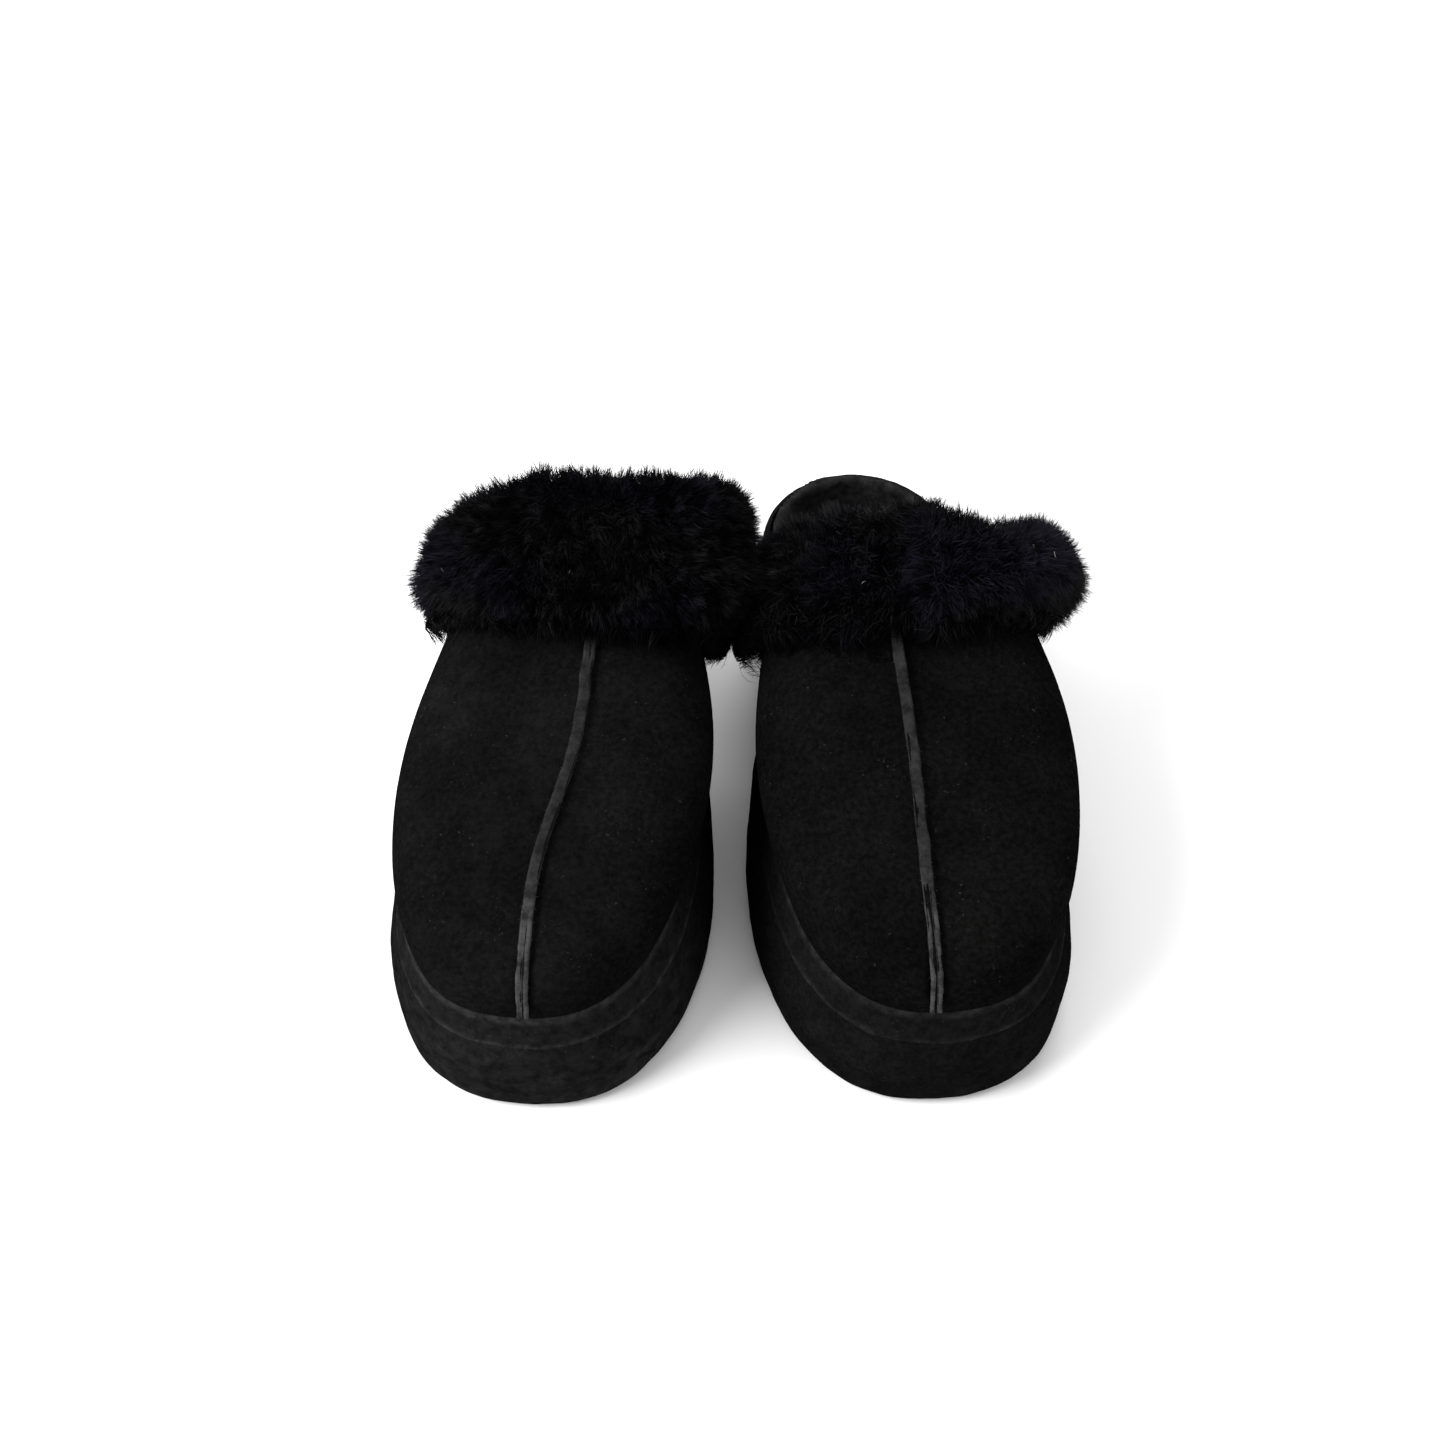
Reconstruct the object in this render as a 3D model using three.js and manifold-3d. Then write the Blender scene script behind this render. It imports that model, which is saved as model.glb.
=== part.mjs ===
// A pair of platform mule slippers with fur collars, heels at +Y and toes at -Y.
// Each slipper is laid out in its own frame: x runs outward from its middle, u runs from the
// heel to the toe and z is the height over the floor. Sizes are in millimetres.
import * as THREE from 'three';
import Module from 'manifold-3d';

const wasm = await Module();
wasm.setup();

// ---- driving dimensions ----
const LENGTH = 270;              // outsole, heel to toe
const OUTER_HALF_WIDTH = 62;     // forefoot, middle to the outward side
const INNER_HALF_WIDTH = 63;     // forefoot, middle to the side that faces the other slipper
const FOREFOOT_LENGTH = 89;      // toe back to where the forefoot is widest
const HEEL_HALF_WIDTH = 42;
const HEEL_DEPTH = 44;           // length of the round heel end
const TOE_FULLNESS = 2.26;
const TOE_ROUNDNESS = 0.408;
const TOE_DRIFT = 1.5;           // the toe leans outward by this much
const HALF_SPACING = 65.6;       // middle of a slipper from the middle of the pair

const OUTSOLE_THICKNESS = 5;
const OUTSOLE_INSET = 2.2;
const TREAD_DEPTH = 1.6;
const TREAD_WIDTH = 3.4;
const TREAD_PITCH = 12;
const TREAD_START = 19.2;        // middle of the first groove, from the heel
const TREAD_SPAN = 1.25;         // groove length as a share of the outward half width
const WALL_TOP = 39;             // top of the wrapped platform wall
const WALL_LEAN = 4.2;           // how far the wall has come in at its top
const WALL_BULGE = 1.6;
const RAND_TOP = 52;             // top of the suede band over the wall
const RAND_LEAN = 10.5;          // how far the band has come in at its top
const RAND_STEP = 0.6;           // the band's foot sits this far inside the wall's top
const RAND_CURVE = 1.6;
const SUEDE = 1.7;
const BOARD = 2.4;
const FLEECE = 7.5;              // fleece on the footbed
const FLEECE_ROUND = 3;          // rounded edge of the footbed fleece
const FLEECE_DISH = 1;           // its middle lies this much lower
const FLEECE_RIM = 16;           // width of its higher rim
const LINING = 3.5;              // fleece pressed inside the upper
const GAP = 0.35;                // clearance between neighbouring pieces
const FLEECE_GAP = 1.2;          // clearance round the footbed fleece

const CROWN_HEIGHT = 57;         // top of the upper over the rand, at its rear edge
const VAMP_LENGTH = 143;         // toe back to where the upper ends on top
const SIDE_STATION_ARC = 214;    // the upper's edge runs this far back from the toe on each side
const CROWN_CURVE = 0.44;
const NOSE_HEIGHT = 5;
const NOSE_DEPTH = 20;           // the nose has faded this deep inside the upper
const SIDE_ROUND = 0.75;         // how round the upper is across, up and along its edge
const TOP_ROUND = 0.9;
const EDGE_SWEEP = 1.9;
const TOE_SWEEP = 0.8;
const SWEEP_SPAN = 0.625;        // share of the vamp over which the sweep changes
const SWELL_FADE = 1.5;
const TOE_SWELL = 0.05;
const RIDGE_HEIGHT = 2.6;        // raw seam edges stand up by this much
const SEAM_TURN = [106, 38];     // the seam crosses over between these distances from the toe

const HEEL_BAND_TOP = 68;
const HEEL_PADDING = 8;          // the heel band swells outward by this much
const HEEL_SWELL_TURN = 0.75;    // share of a half turn the swelling makes up to the top
const HEEL_LINING_SHARE = 0.9;   // height of the heel lining as a share of the band's
const COLLAR_GAP = 0.8;          // clearance between the collar and the edge it sits on
const COLLAR_TURN = [132, -128]; // degrees round the roll, from its outer to its inner foot
const COLLAR_UNDER = [14, 17];   // depth of the roll below the edge, at its ends and middle
const END_CURVE = 9;
const SHOULDER_AT = 0.62;        // where the roll is fuller on the inward side, 1 being its end
const SHOULDER_WIDTH = 0.26;
const FLAP_BACK = 0.9;           // the roll's foot reaches this share of the flap's length
const INNER_FLAP = 0.6;          // the inner flap's length as a share of the outer one's

const RING_POINTS = 52;
const DENSE = 260;
const VAMP_ROWS = 16;
const VAMP_COLUMNS = 7;
const ROW_CROWDING = 1.15;
const HEEL_STEPS = 24;
const HEEL_ROWS = 4;
const COLLAR_SECTIONS = 28;
const COLLAR_TURNS = 11;

const BALL_STATION = LENGTH - FOREFOOT_LENGTH;
const CROWN_STATION = LENGTH - VAMP_LENGTH;

const lerp = (a, b, t) => a + (b - a) * t;
const clamp = (v) => Math.min(1, Math.max(0, v));
const smooth = (v) => clamp(v) ** 2 * (3 - 2 * clamp(v));
const bump = (v, at, width) => Math.exp(-(((v - at) / width) ** 2));

// ---- plan outline ----
function halfWidth(u, widest) {
  if (u >= BALL_STATION) {
    const t = (u - BALL_STATION) / (LENGTH - BALL_STATION);
    return widest * Math.max(0, 1 - t ** TOE_FULLNESS) ** TOE_ROUNDNESS;
  }
  const round = Math.sqrt(Math.max(0, 1 - (Math.max(0, HEEL_DEPTH - u) / HEEL_DEPTH) ** 2));
  const grow = smooth((u - HEEL_DEPTH) / (BALL_STATION - HEEL_DEPTH));
  return HEEL_HALF_WIDTH * round + (widest - HEEL_HALF_WIDTH) * grow;
}

const middle = (u) => TOE_DRIFT * (Math.max(0, u) / LENGTH) ** 3;

// One side of the outline as points from the toe back to the heel, with the distance run.
function sideCurve(side) {
  const widest = side > 0 ? OUTER_HALF_WIDTH : INNER_HALF_WIDTH;
  const points = [];
  for (let i = 0; i <= DENSE; i += 1) {
    const u = LENGTH * (0.5 + 0.5 * Math.cos((Math.PI * i) / DENSE));
    points.push({ x: middle(u) + side * halfWidth(u, widest), u, run: 0 });
  }
  for (let i = 1; i <= DENSE; i += 1) {
    const step = Math.hypot(points[i].x - points[i - 1].x, points[i].u - points[i - 1].u);
    points[i].run = points[i - 1].run + step;
  }
  return points;
}

const CURVES = { '1': sideCurve(1), '-1': sideCurve(-1) };
const sideRun = (side) => CURVES[side][DENSE].run;

function onCurve(q) {
  const side = q >= 0 ? 1 : -1;
  const curve = CURVES[side];
  const run = Math.min(Math.abs(q), curve[DENSE].run);
  let i = 1;
  while (i < DENSE && curve[i].run < run) i += 1;
  const t = (run - curve[i - 1].run) / (curve[i].run - curve[i - 1].run);
  return [lerp(curve[i - 1].x, curve[i].x, t), lerp(curve[i - 1].u, curve[i].u, t)];
}

// A run that goes past the heel comes back up the other side.
function pastHeel(q) {
  const round = sideRun(1) + sideRun(-1);
  if (q > sideRun(1)) return q - round;
  return q < -sideRun(-1) ? q + round : q;
}

// A point of the outline, q millimetres round from the toe (positive outward), moved inward.
function rim(q, inset) {
  const reach = 1.5;
  const here = onCurve(q);
  const ahead = onCurve(pastHeel(q + reach));
  const behind = onCurve(pastHeel(q - reach));
  const dx = ahead[0] - behind[0];
  const du = ahead[1] - behind[1];
  const size = Math.hypot(dx, du);
  return [here[0] + (du / size) * inset, here[1] - (dx / size) * inset];
}

function ring(inset, z) {
  const points = [];
  const half = RING_POINTS / 2;
  for (let i = 0; i < RING_POINTS; i += 1) {
    const outward = i < half;
    const share = outward ? i / half : (RING_POINTS - i) / half;
    const q = outward ? share * sideRun(1) : -share * sideRun(-1);
    const [x, u] = rim(q, inset);
    points.push([x, u, z]);
  }
  return points;
}

// ---- closed bodies from grids of points ----
function body(points, faces) {
  return { points, faces };
}

function gridFaces(rows, columns, start, wrapRows, wrapColumns) {
  const faces = [];
  for (let r = 0; r < (wrapRows ? rows : rows - 1); r += 1) {
    for (let c = 0; c < (wrapColumns ? columns : columns - 1); c += 1) {
      const a = start + r * columns + c;
      const b = start + r * columns + ((c + 1) % columns);
      const d = start + ((r + 1) % rows) * columns + c;
      const e = start + ((r + 1) % rows) * columns + ((c + 1) % columns);
      faces.push([a, b, e], [a, e, d]);
    }
  }
  return faces;
}

// A solid plate from [inset, z] steps, bottom to top, closed with a fan at each end.
function stack(profile) {
  const points = profile.flatMap(([inset, z]) => ring(inset, z));
  const faces = gridFaces(profile.length, RING_POINTS, 0, false, true);
  const last = (profile.length - 1) * RING_POINTS;
  const core = [middle(LENGTH / 2), LENGTH / 2];
  points.push([...core, profile[0][1]], [...core, profile[profile.length - 1][1]]);
  for (let i = 0; i < RING_POINTS; i += 1) {
    const j = (i + 1) % RING_POINTS;
    faces.push([points.length - 2, j, i], [points.length - 1, last + i, last + j]);
  }
  return body(points, faces);
}

// A closed band round the whole slipper from a closed loop of [inset, z] steps.
function band(profile) {
  const points = profile.flatMap(([inset, z]) => ring(inset, z));
  return body(points, gridFaces(profile.length, RING_POINTS, 0, true, true));
}

// A closed strip: each section holds an outer and an inner line of equally many points.
function strip(sections) {
  const rows = sections.length;
  const columns = sections[0].outer.length;
  const points = [...sections.flatMap((s) => s.outer), ...sections.flatMap((s) => s.inner)];
  const inner = rows * columns;
  const faces = gridFaces(rows, columns, 0, false, false);
  for (const [a, b, c] of gridFaces(rows, columns, inner, false, false)) faces.push([a, c, b]);
  const wall = (a, b) => faces.push([b, a, a + inner], [b, a + inner, b + inner]);
  for (let c = 0; c < columns - 1; c += 1) {
    wall(c, c + 1);
    wall((rows - 1) * columns + c + 1, (rows - 1) * columns + c);
  }
  for (let r = 0; r < rows - 1; r += 1) {
    wall((r + 1) * columns, r * columns);
    wall(r * columns + columns - 1, (r + 1) * columns + columns - 1);
  }
  return body(points, faces);
}

// ---- the upper's surfaces, nested inside each other ----
const RIDGE = SUEDE + GAP / 2;
const skin = (depth) => ({ inset: RAND_LEAN + depth, drop: depth });
const OUTSIDE = skin(0);
const BASE = RAND_TOP + GAP;

function seamX(u, looks) {
  const turn = smooth((SEAM_TURN[0] - (LENGTH - u)) / (SEAM_TURN[0] - SEAM_TURN[1]));
  return middle(u) + lerp(looks.seamTop, looks.seamToe, turn);
}

function crown(s, layer, looks) {
  const tip = LENGTH - layer.inset;
  const u = lerp(CROWN_STATION, tip, s);
  const rise = clamp((tip - u) / (tip - CROWN_STATION)) ** CROWN_CURVE;
  const nose = NOSE_HEIGHT * (1 - rise) * clamp(1 - layer.drop / NOSE_DEPTH);
  return [seamX(u, looks), u, BASE + nose + Math.max(0, CROWN_HEIGHT - layer.drop) * rise];
}

function upper(looks, side, s, t, layer) {
  const foot = looks.seamToe + side * RIDGE;
  const [edgeX, edgeU] = rim(lerp(side * SIDE_STATION_ARC, foot, s), layer.inset);
  const top = crown(s, layer, looks);
  const topX = top[0] + side * RIDGE;
  const angle = (t * Math.PI) / 2;
  const across = t < 1 ? Math.cos(angle) : 0;
  const pull = across ** SIDE_ROUND;
  const sweep = across ** lerp(EDGE_SWEEP, TOE_SWEEP, smooth(s / SWEEP_SPAN));
  const bulge = side > 0 ? looks.bulgeOut : looks.bulgeIn;
  const swell = (bulge * (1 - s) ** SWELL_FADE + TOE_SWELL) * Math.sin(2 * angle);
  return [
    topX + (edgeX - topX) * (pull + swell),
    top[1] + (edgeU - top[1]) * sweep,
    BASE + (top[2] - BASE) * Math.sin(angle) ** TOP_ROUND,
  ];
}

const add = (a, b, k = 1) => [a[0] + b[0] * k, a[1] + b[1] * k, a[2] + b[2] * k];
const unit = (a) => a.map((v) => v / Math.hypot(...a));
const cross = (a, b) => [a[1] * b[2] - a[2] * b[1], a[2] * b[0] - a[0] * b[2], a[0] * b[1] - a[1] * b[0]];

const rowShare = (i, rows) => 1 - (1 - i / rows) ** ROW_CROWDING;

// ---- sub-parts ----
function outsole() {
  const outline = ring(OUTSOLE_INSET, 0).map(([x, u]) => [x, u]);
  const shape = wasm.CrossSection.ofPolygons([outline], 'EvenOdd');
  let plate = shape.extrude(OUTSOLE_THICKNESS);
  const grooves = [];
  for (let u = TREAD_START; u < LENGTH - TREAD_PITCH; u += TREAD_PITCH) {
    const span = TREAD_SPAN * halfWidth(u, OUTER_HALF_WIDTH);
    const box = wasm.Manifold.cube([span, TREAD_WIDTH, TREAD_DEPTH * 2], true);
    grooves.push(box.translate([middle(u), u, 0]));
  }
  plate = plate.subtract(wasm.Manifold.union(grooves));
  const mesh = plate.getMesh();
  const points = [];
  for (let i = 0; i < mesh.numVert; i += 1) {
    const at = i * mesh.numProp;
    points.push([...mesh.vertProperties.slice(at, at + 3)]);
  }
  const faces = [];
  for (let i = 0; i < mesh.numTri; i += 1) faces.push([...mesh.triVerts.slice(i * 3, i * 3 + 3)]);
  return body(points, faces);
}

const wallInset = (z) => {
  const climb = (z - OUTSOLE_THICKNESS) / (WALL_TOP - OUTSOLE_THICKNESS);
  return WALL_BULGE + WALL_LEAN * climb ** 2 - WALL_BULGE * Math.sin(Math.PI * climb);
};

const wallLevels = [0, 0.15, 0.35, 0.55, 0.75, 0.9, 1];

function platformWrap() {
  const low = OUTSOLE_THICKNESS + GAP;
  const levels = wallLevels.map((share) => lerp(low, WALL_TOP, share));
  const outside = levels.map((z) => [wallInset(z), z]);
  const inside = levels.map((z) => [wallInset(z) + SUEDE, z]).reverse();
  return band([...outside, ...inside]);
}

function midsole() {
  const low = OUTSOLE_THICKNESS + GAP;
  const levels = wallLevels.map((share) => lerp(low, WALL_TOP - GAP, share));
  return stack(levels.map((z) => [wallInset(z) + SUEDE + GAP, z]));
}

function randBand() {
  const low = WALL_TOP + GAP;
  const foot = wallInset(WALL_TOP) + RAND_STEP;
  const levels = [0, 0.3, 0.7, 1];
  const lean = (share) => lerp(foot, RAND_LEAN, share ** RAND_CURVE);
  const outside = levels.map((share) => [lean(share), lerp(low, RAND_TOP, share)]);
  const inside = levels.map((share) => [lean(share) + SUEDE, lerp(low, RAND_TOP, share)]);
  return band([...outside, ...inside.reverse()]);
}

const BED_INSET = RAND_LEAN + SUEDE + GAP;

function insoleBoard() {
  const low = WALL_TOP + GAP;
  return stack([[BED_INSET, low], [BED_INSET, low + BOARD]]);
}

function footbedFoam() {
  const low = WALL_TOP + BOARD + 2 * GAP;
  return stack([[BED_INSET, low], [BED_INSET, RAND_TOP]]);
}

const BED_EDGE = RAND_LEAN + SUEDE + LINING + GAP + FLEECE_GAP;

function footbedFleece() {
  const top = BASE + FLEECE;
  return stack([
    [BED_EDGE, BASE],
    [BED_EDGE, top - 2 * FLEECE_DISH],
    [BED_EDGE + FLEECE_ROUND, top],
    [BED_EDGE + FLEECE_RIM, top - FLEECE_DISH],
  ]);
}

function seamNormal(s, looks) {
  const a = crown(Math.max(0, s - 0.01), OUTSIDE, looks);
  const b = crown(Math.min(1, s + 0.01), OUTSIDE, looks);
  return unit([0, a[2] - b[2], b[1] - a[1]]);
}

function vampPanel(side, looks) {
  const sections = [];
  for (let i = 0; i <= VAMP_ROWS; i += 1) {
    const s = rowShare(i, VAMP_ROWS);
    const outer = [];
    const inner = [];
    for (let j = 0; j <= VAMP_COLUMNS; j += 1) {
      outer.push(upper(looks, side, s, j / VAMP_COLUMNS, OUTSIDE));
      inner.push(upper(looks, side, s, j / VAMP_COLUMNS, skin(SUEDE)));
    }
    const toSeam = [-side * SUEDE, 0, 0];
    const shoulder = outer[VAMP_COLUMNS];
    const raised = add(shoulder, seamNormal(s, looks), RIDGE_HEIGHT);
    outer.push(raised, add(raised, toSeam));
    inner.push(add(inner[VAMP_COLUMNS], toSeam), add(shoulder, toSeam));
    sections.push({ outer, inner });
  }
  return strip(sections);
}

function vampLining(looks) {
  const depth = SUEDE + GAP;
  const sections = [];
  for (let i = 0; i <= VAMP_ROWS; i += 1) {
    const s = rowShare(i, VAMP_ROWS);
    const outer = [];
    const inner = [];
    for (const side of [1, -1]) {
      for (let j = 0; j <= VAMP_COLUMNS; j += 1) {
        const t = (side > 0 ? j : VAMP_COLUMNS - j) / VAMP_COLUMNS;
        outer.push(upper(looks, side, s, t, skin(depth)));
        inner.push(upper(looks, side, s, t, skin(depth + LINING)));
      }
    }
    sections.push({ outer, inner });
  }
  return strip(sections);
}

// A low band round the heel from one end of the upper to the other.
function heelStrip(near, far, height) {
  const sections = [];
  const start = SIDE_STATION_ARC + 2 * GAP;
  const back = sideRun(1);
  const total = back + sideRun(-1) - 2 * start;
  for (let i = 0; i <= HEEL_STEPS; i += 1) {
    const along = start + (total * i) / HEEL_STEPS;
    const q = along <= back ? along : -(back + sideRun(-1) - along);
    const ends = smooth(0.15 + (5 * Math.min(i, HEEL_STEPS - i)) / HEEL_STEPS);
    const outer = [];
    const inner = [];
    for (let j = 0; j <= HEEL_ROWS; j += 1) {
      const climb = (j / HEEL_ROWS) * height;
      const z = lerp(BASE, HEEL_BAND_TOP, climb);
      const lean = -HEEL_PADDING * Math.sin(Math.PI * climb * HEEL_SWELL_TURN) * ends;
      outer.push([...rim(q, near + lean), z]);
      inner.push([...rim(q, far + lean), z]);
    }
    sections.push({ outer, inner });
  }
  return strip(sections);
}

const heelBand = () => heelStrip(RAND_LEAN, RAND_LEAN + SUEDE, 1);
const heelLining = () => {
  const near = RAND_LEAN + SUEDE + GAP;
  return heelStrip(near, near + LINING, HEEL_LINING_SHARE);
};

// ---- the fur collar ----
// Where the roll runs: from the outward side over the top to the inward side.
function collarPlace(share, looks) {
  const along = lerp(-1, 1, share);
  const start = along <= 0 ? looks.startOut : looks.startIn;
  return { side: along <= 0 ? 1 : -1, t: lerp(1, start, Math.abs(along)), along };
}

// The upper's rear edge at one place, with the directions away from the vamp and outward.
function collarAxes(side, t, looks) {
  const core = skin((SUEDE + LINING) / 2);
  const edge = upper(looks, side, 0, t, core);
  const away = unit(add(edge, upper(looks, side, 0.03, t, core), -1));
  const low = upper(looks, side, 0, Math.max(0, t - 0.02), OUTSIDE);
  const high = upper(looks, side, 0, Math.min(0.999, t + 0.02), OUTSIDE);
  const out = unit(cross(add(high, low, -1), away));
  const pointing = out[0] * (edge[0] - middle(edge[1])) + out[2] * (edge[2] - BASE);
  return { edge, away, out: pointing < 0 ? out.map((v) => -v) : out };
}

// The roll's free surface, from its outer foot round to its inner foot.
function collarRoll({ along }, { edge, away, out }, looks) {
  const crownness = 1 - along ** 2;
  const back = unit(add(away, out, lerp(0.05, looks.lean, crownness)));
  const shoulder = bump(along, SHOULDER_AT, SHOULDER_WIDTH);
  const lobe = looks.lobe * bump(along, -0.75, 0.25);
  const dent = looks.dent * bump(along, looks.dentAt, looks.dentWidth);
  const reach = lerp(looks.endReach, looks.reach, crownness) + lobe - dent + looks.shoulder * shoulder;
  const wide = (along < 0 ? looks.outward : looks.inward) + looks.shoulderWide * shoulder;
  const over = wide * lerp(0.9, 1, crownness);
  const under = lerp(...COLLAR_UNDER, crownness);
  const end = along < 0 ? looks.endOut : looks.endIn;
  const size = lerp(end, 1, Math.sqrt(clamp(1.02 - Math.abs(along) ** END_CURVE)));
  const line = [];
  for (let i = 0; i <= COLLAR_TURNS; i += 1) {
    const angle = THREE.MathUtils.degToRad(lerp(...COLLAR_TURN, i / COLLAR_TURNS));
    const a = Math.sin(angle) * (angle > 0 ? over : under) * size;
    const b = Math.cos(angle) * (Math.cos(angle) > 0 ? reach * size : looks.flap * FLAP_BACK);
    line.push(add(add(edge, out, a), back, b));
  }
  return line;
}

// The roll's hidden surface, which follows the upper's outside, edge and inside.
function collarSeat({ side, t }, { away }, looks) {
  const ridge = RIDGE_HEIGHT * smooth((t - 0.72) / 0.18);
  const outside = skin(-COLLAR_GAP - ridge);
  const inside = skin(SUEDE + LINING + GAP + COLLAR_GAP);
  const flapOut = looks.flap / SIDE_STATION_ARC;
  const half = (COLLAR_TURNS - 1) / 2;
  const line = [];
  for (let i = 0; i < half; i += 1) {
    line.push(upper(looks, side, flapOut * (1 - i / half), t, outside));
  }
  line.push(add(upper(looks, side, 0, t, outside), away));
  line.push(add(upper(looks, side, 0, t, inside), away));
  for (let i = 1; i <= half; i += 1) {
    line.push(upper(looks, side, (INNER_FLAP * flapOut * i) / half, t, inside));
  }
  return line;
}

function collarSection(share, looks) {
  const place = collarPlace(share, looks);
  const axes = collarAxes(place.side, place.t, looks);
  return { outer: collarRoll(place, axes, looks), inner: collarSeat(place, axes, looks) };
}

function furCollar(looks) {
  const sections = [];
  for (let i = 0; i <= COLLAR_SECTIONS; i += 1) sections.push(collarSection(i / COLLAR_SECTIONS, looks));
  return strip(sections);
}

// ---- the two slippers ----
const SUEDE_BLACK = 0x1b1a1a;
const SUEDE_WORN = 0x2a2928;
const FLEECE_BLACK = 0x17161a;
const FUR_BLACK = 0x121118;
const RUBBER = 0x241f1c;
const FOAM = 0x3a3a3c;
const BOARD_GREY = 0x6a665e;

const LOOKS = {
  left: {
    turn: 4.5,
    forward: 2.2,
    aside: 0,
    seamTop: -13.6,
    seamToe: -3.9,
    bulgeOut: 0.25,
    bulgeIn: 0.7,
    outward: 23,
    inward: 23,
    reach: 55,
    endReach: 32,
    shoulder: 17,
    shoulderWide: 3.5,
    startOut: 0.3,
    startIn: 0.2,
    endOut: 0.45,
    endIn: 0.45,
    flap: 12.5,
    lean: 0.75,
    lobe: 0,
    dent: 9,
    dentAt: -0.66,
    dentWidth: 0.3,
  },
  right: {
    turn: 5,
    forward: 0,
    aside: -1.4,
    seamTop: -4,
    seamToe: -6,
    bulgeOut: 0.52,
    bulgeIn: 0.45,
    outward: 32,
    inward: 11,
    reach: 45,
    endReach: 30,
    shoulder: 0,
    shoulderWide: 0,
    startOut: 0.18,
    startIn: 0.2,
    endOut: 0.58,
    endIn: 0.45,
    flap: 15,
    lean: 0.3,
    lobe: 1,
    dent: 15,
    dentAt: -0.4,
    dentWidth: 0.2,
  },
};

function slipper(name) {
  const sign = name === 'left' ? -1 : 1;
  const looks = LOOKS[name];
  const turn = THREE.MathUtils.degToRad(looks.turn);
  const group = new THREE.Group();
  group.name = `${name}_slipper`;
  const place = ([x, u, z]) => {
    const ahead = u - LENGTH / 2;
    const across = HALF_SPACING + looks.aside + x * Math.cos(turn) + ahead * Math.sin(turn);
    return [sign * across, x * Math.sin(turn) - ahead * Math.cos(turn) - looks.forward, z];
  };
  const put = (piece, solid, colour, roughness) => {
    group.add(mesh(`${name}_${piece}`, solid, place, colour, roughness));
  };
  put('outsole', outsole(), RUBBER, 0.85);
  put('midsole', midsole(), FOAM, 0.9);
  put('platform_wrap', platformWrap(), SUEDE_BLACK, 0.95);
  put('rand_band', randBand(), SUEDE_WORN, 0.95);
  put('insole_board', insoleBoard(), BOARD_GREY, 0.9);
  put('footbed_foam', footbedFoam(), FOAM, 0.9);
  put('footbed_fleece', footbedFleece(), FLEECE_BLACK, 1);
  put('vamp_lateral', vampPanel(1, looks), SUEDE_BLACK, 0.95);
  put('vamp_medial', vampPanel(-1, looks), SUEDE_BLACK, 0.95);
  put('vamp_lining', vampLining(looks), FLEECE_BLACK, 1);
  put('heel_band', heelBand(), SUEDE_BLACK, 0.95);
  put('heel_lining', heelLining(), FLEECE_BLACK, 1);
  put('fur_collar', furCollar(looks), FUR_BLACK, 1);
  return group;
}

function volumeOf(points, faces) {
  let sum = 0;
  for (const [a, b, c] of faces) {
    const n = cross(points[b], points[c]);
    sum += points[a][0] * n[0] + points[a][1] * n[1] + points[a][2] * n[2];
  }
  return sum;
}

function mesh(name, solid, place, colour, roughness) {
  const points = solid.points.map(place);
  const inverted = volumeOf(points, solid.faces) < 0;
  const faces = inverted ? solid.faces.map(([a, b, c]) => [a, c, b]) : solid.faces;
  const geometry = new THREE.BufferGeometry();
  geometry.setAttribute('position', new THREE.Float32BufferAttribute(points.flat(), 3));
  geometry.setIndex(faces.flat());
  geometry.computeVertexNormals();
  const result = new THREE.Mesh(geometry, new THREE.MeshStandardMaterial({ color: colour, roughness }));
  result.name = name;
  return result;
}

const pair = new THREE.Group();
pair.name = 'slipper_pair';
pair.add(slipper('left'), slipper('right'));

// The pair stands on the origin: floor level, under the middle of its bounding box.
const bounds = new THREE.Box3().setFromObject(pair);
const centre = bounds.getCenter(new THREE.Vector3());
pair.position.set(-centre.x, -centre.y, -bounds.min.z);
pair.updateMatrixWorld(true);

export default pair;
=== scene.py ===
"""A pair of fluffy platform slippers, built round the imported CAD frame."""

import math

import bmesh
import bpy
import numpy as np
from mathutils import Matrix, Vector, noise
from mathutils.bvhtree import BVHTree
from mathutils.kdtree import KDTree


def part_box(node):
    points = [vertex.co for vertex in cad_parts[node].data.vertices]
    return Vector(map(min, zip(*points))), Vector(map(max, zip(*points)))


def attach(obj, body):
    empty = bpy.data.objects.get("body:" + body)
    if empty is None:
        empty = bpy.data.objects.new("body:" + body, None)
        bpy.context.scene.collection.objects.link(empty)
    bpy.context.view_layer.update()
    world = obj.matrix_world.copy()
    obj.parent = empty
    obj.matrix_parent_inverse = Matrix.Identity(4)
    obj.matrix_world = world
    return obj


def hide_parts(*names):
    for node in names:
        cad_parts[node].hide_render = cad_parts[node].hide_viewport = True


bl_info = {
    "name": "Fluffy House Slippers",
    "version": (1, 0, 0),
    "blender": (4, 5, 0),
    "location": "View3D > Sidebar > Slippers",
    "description": "Builds suede platform slippers with fur collars round a packed frame",
    "category": "Add Mesh",
}

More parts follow.
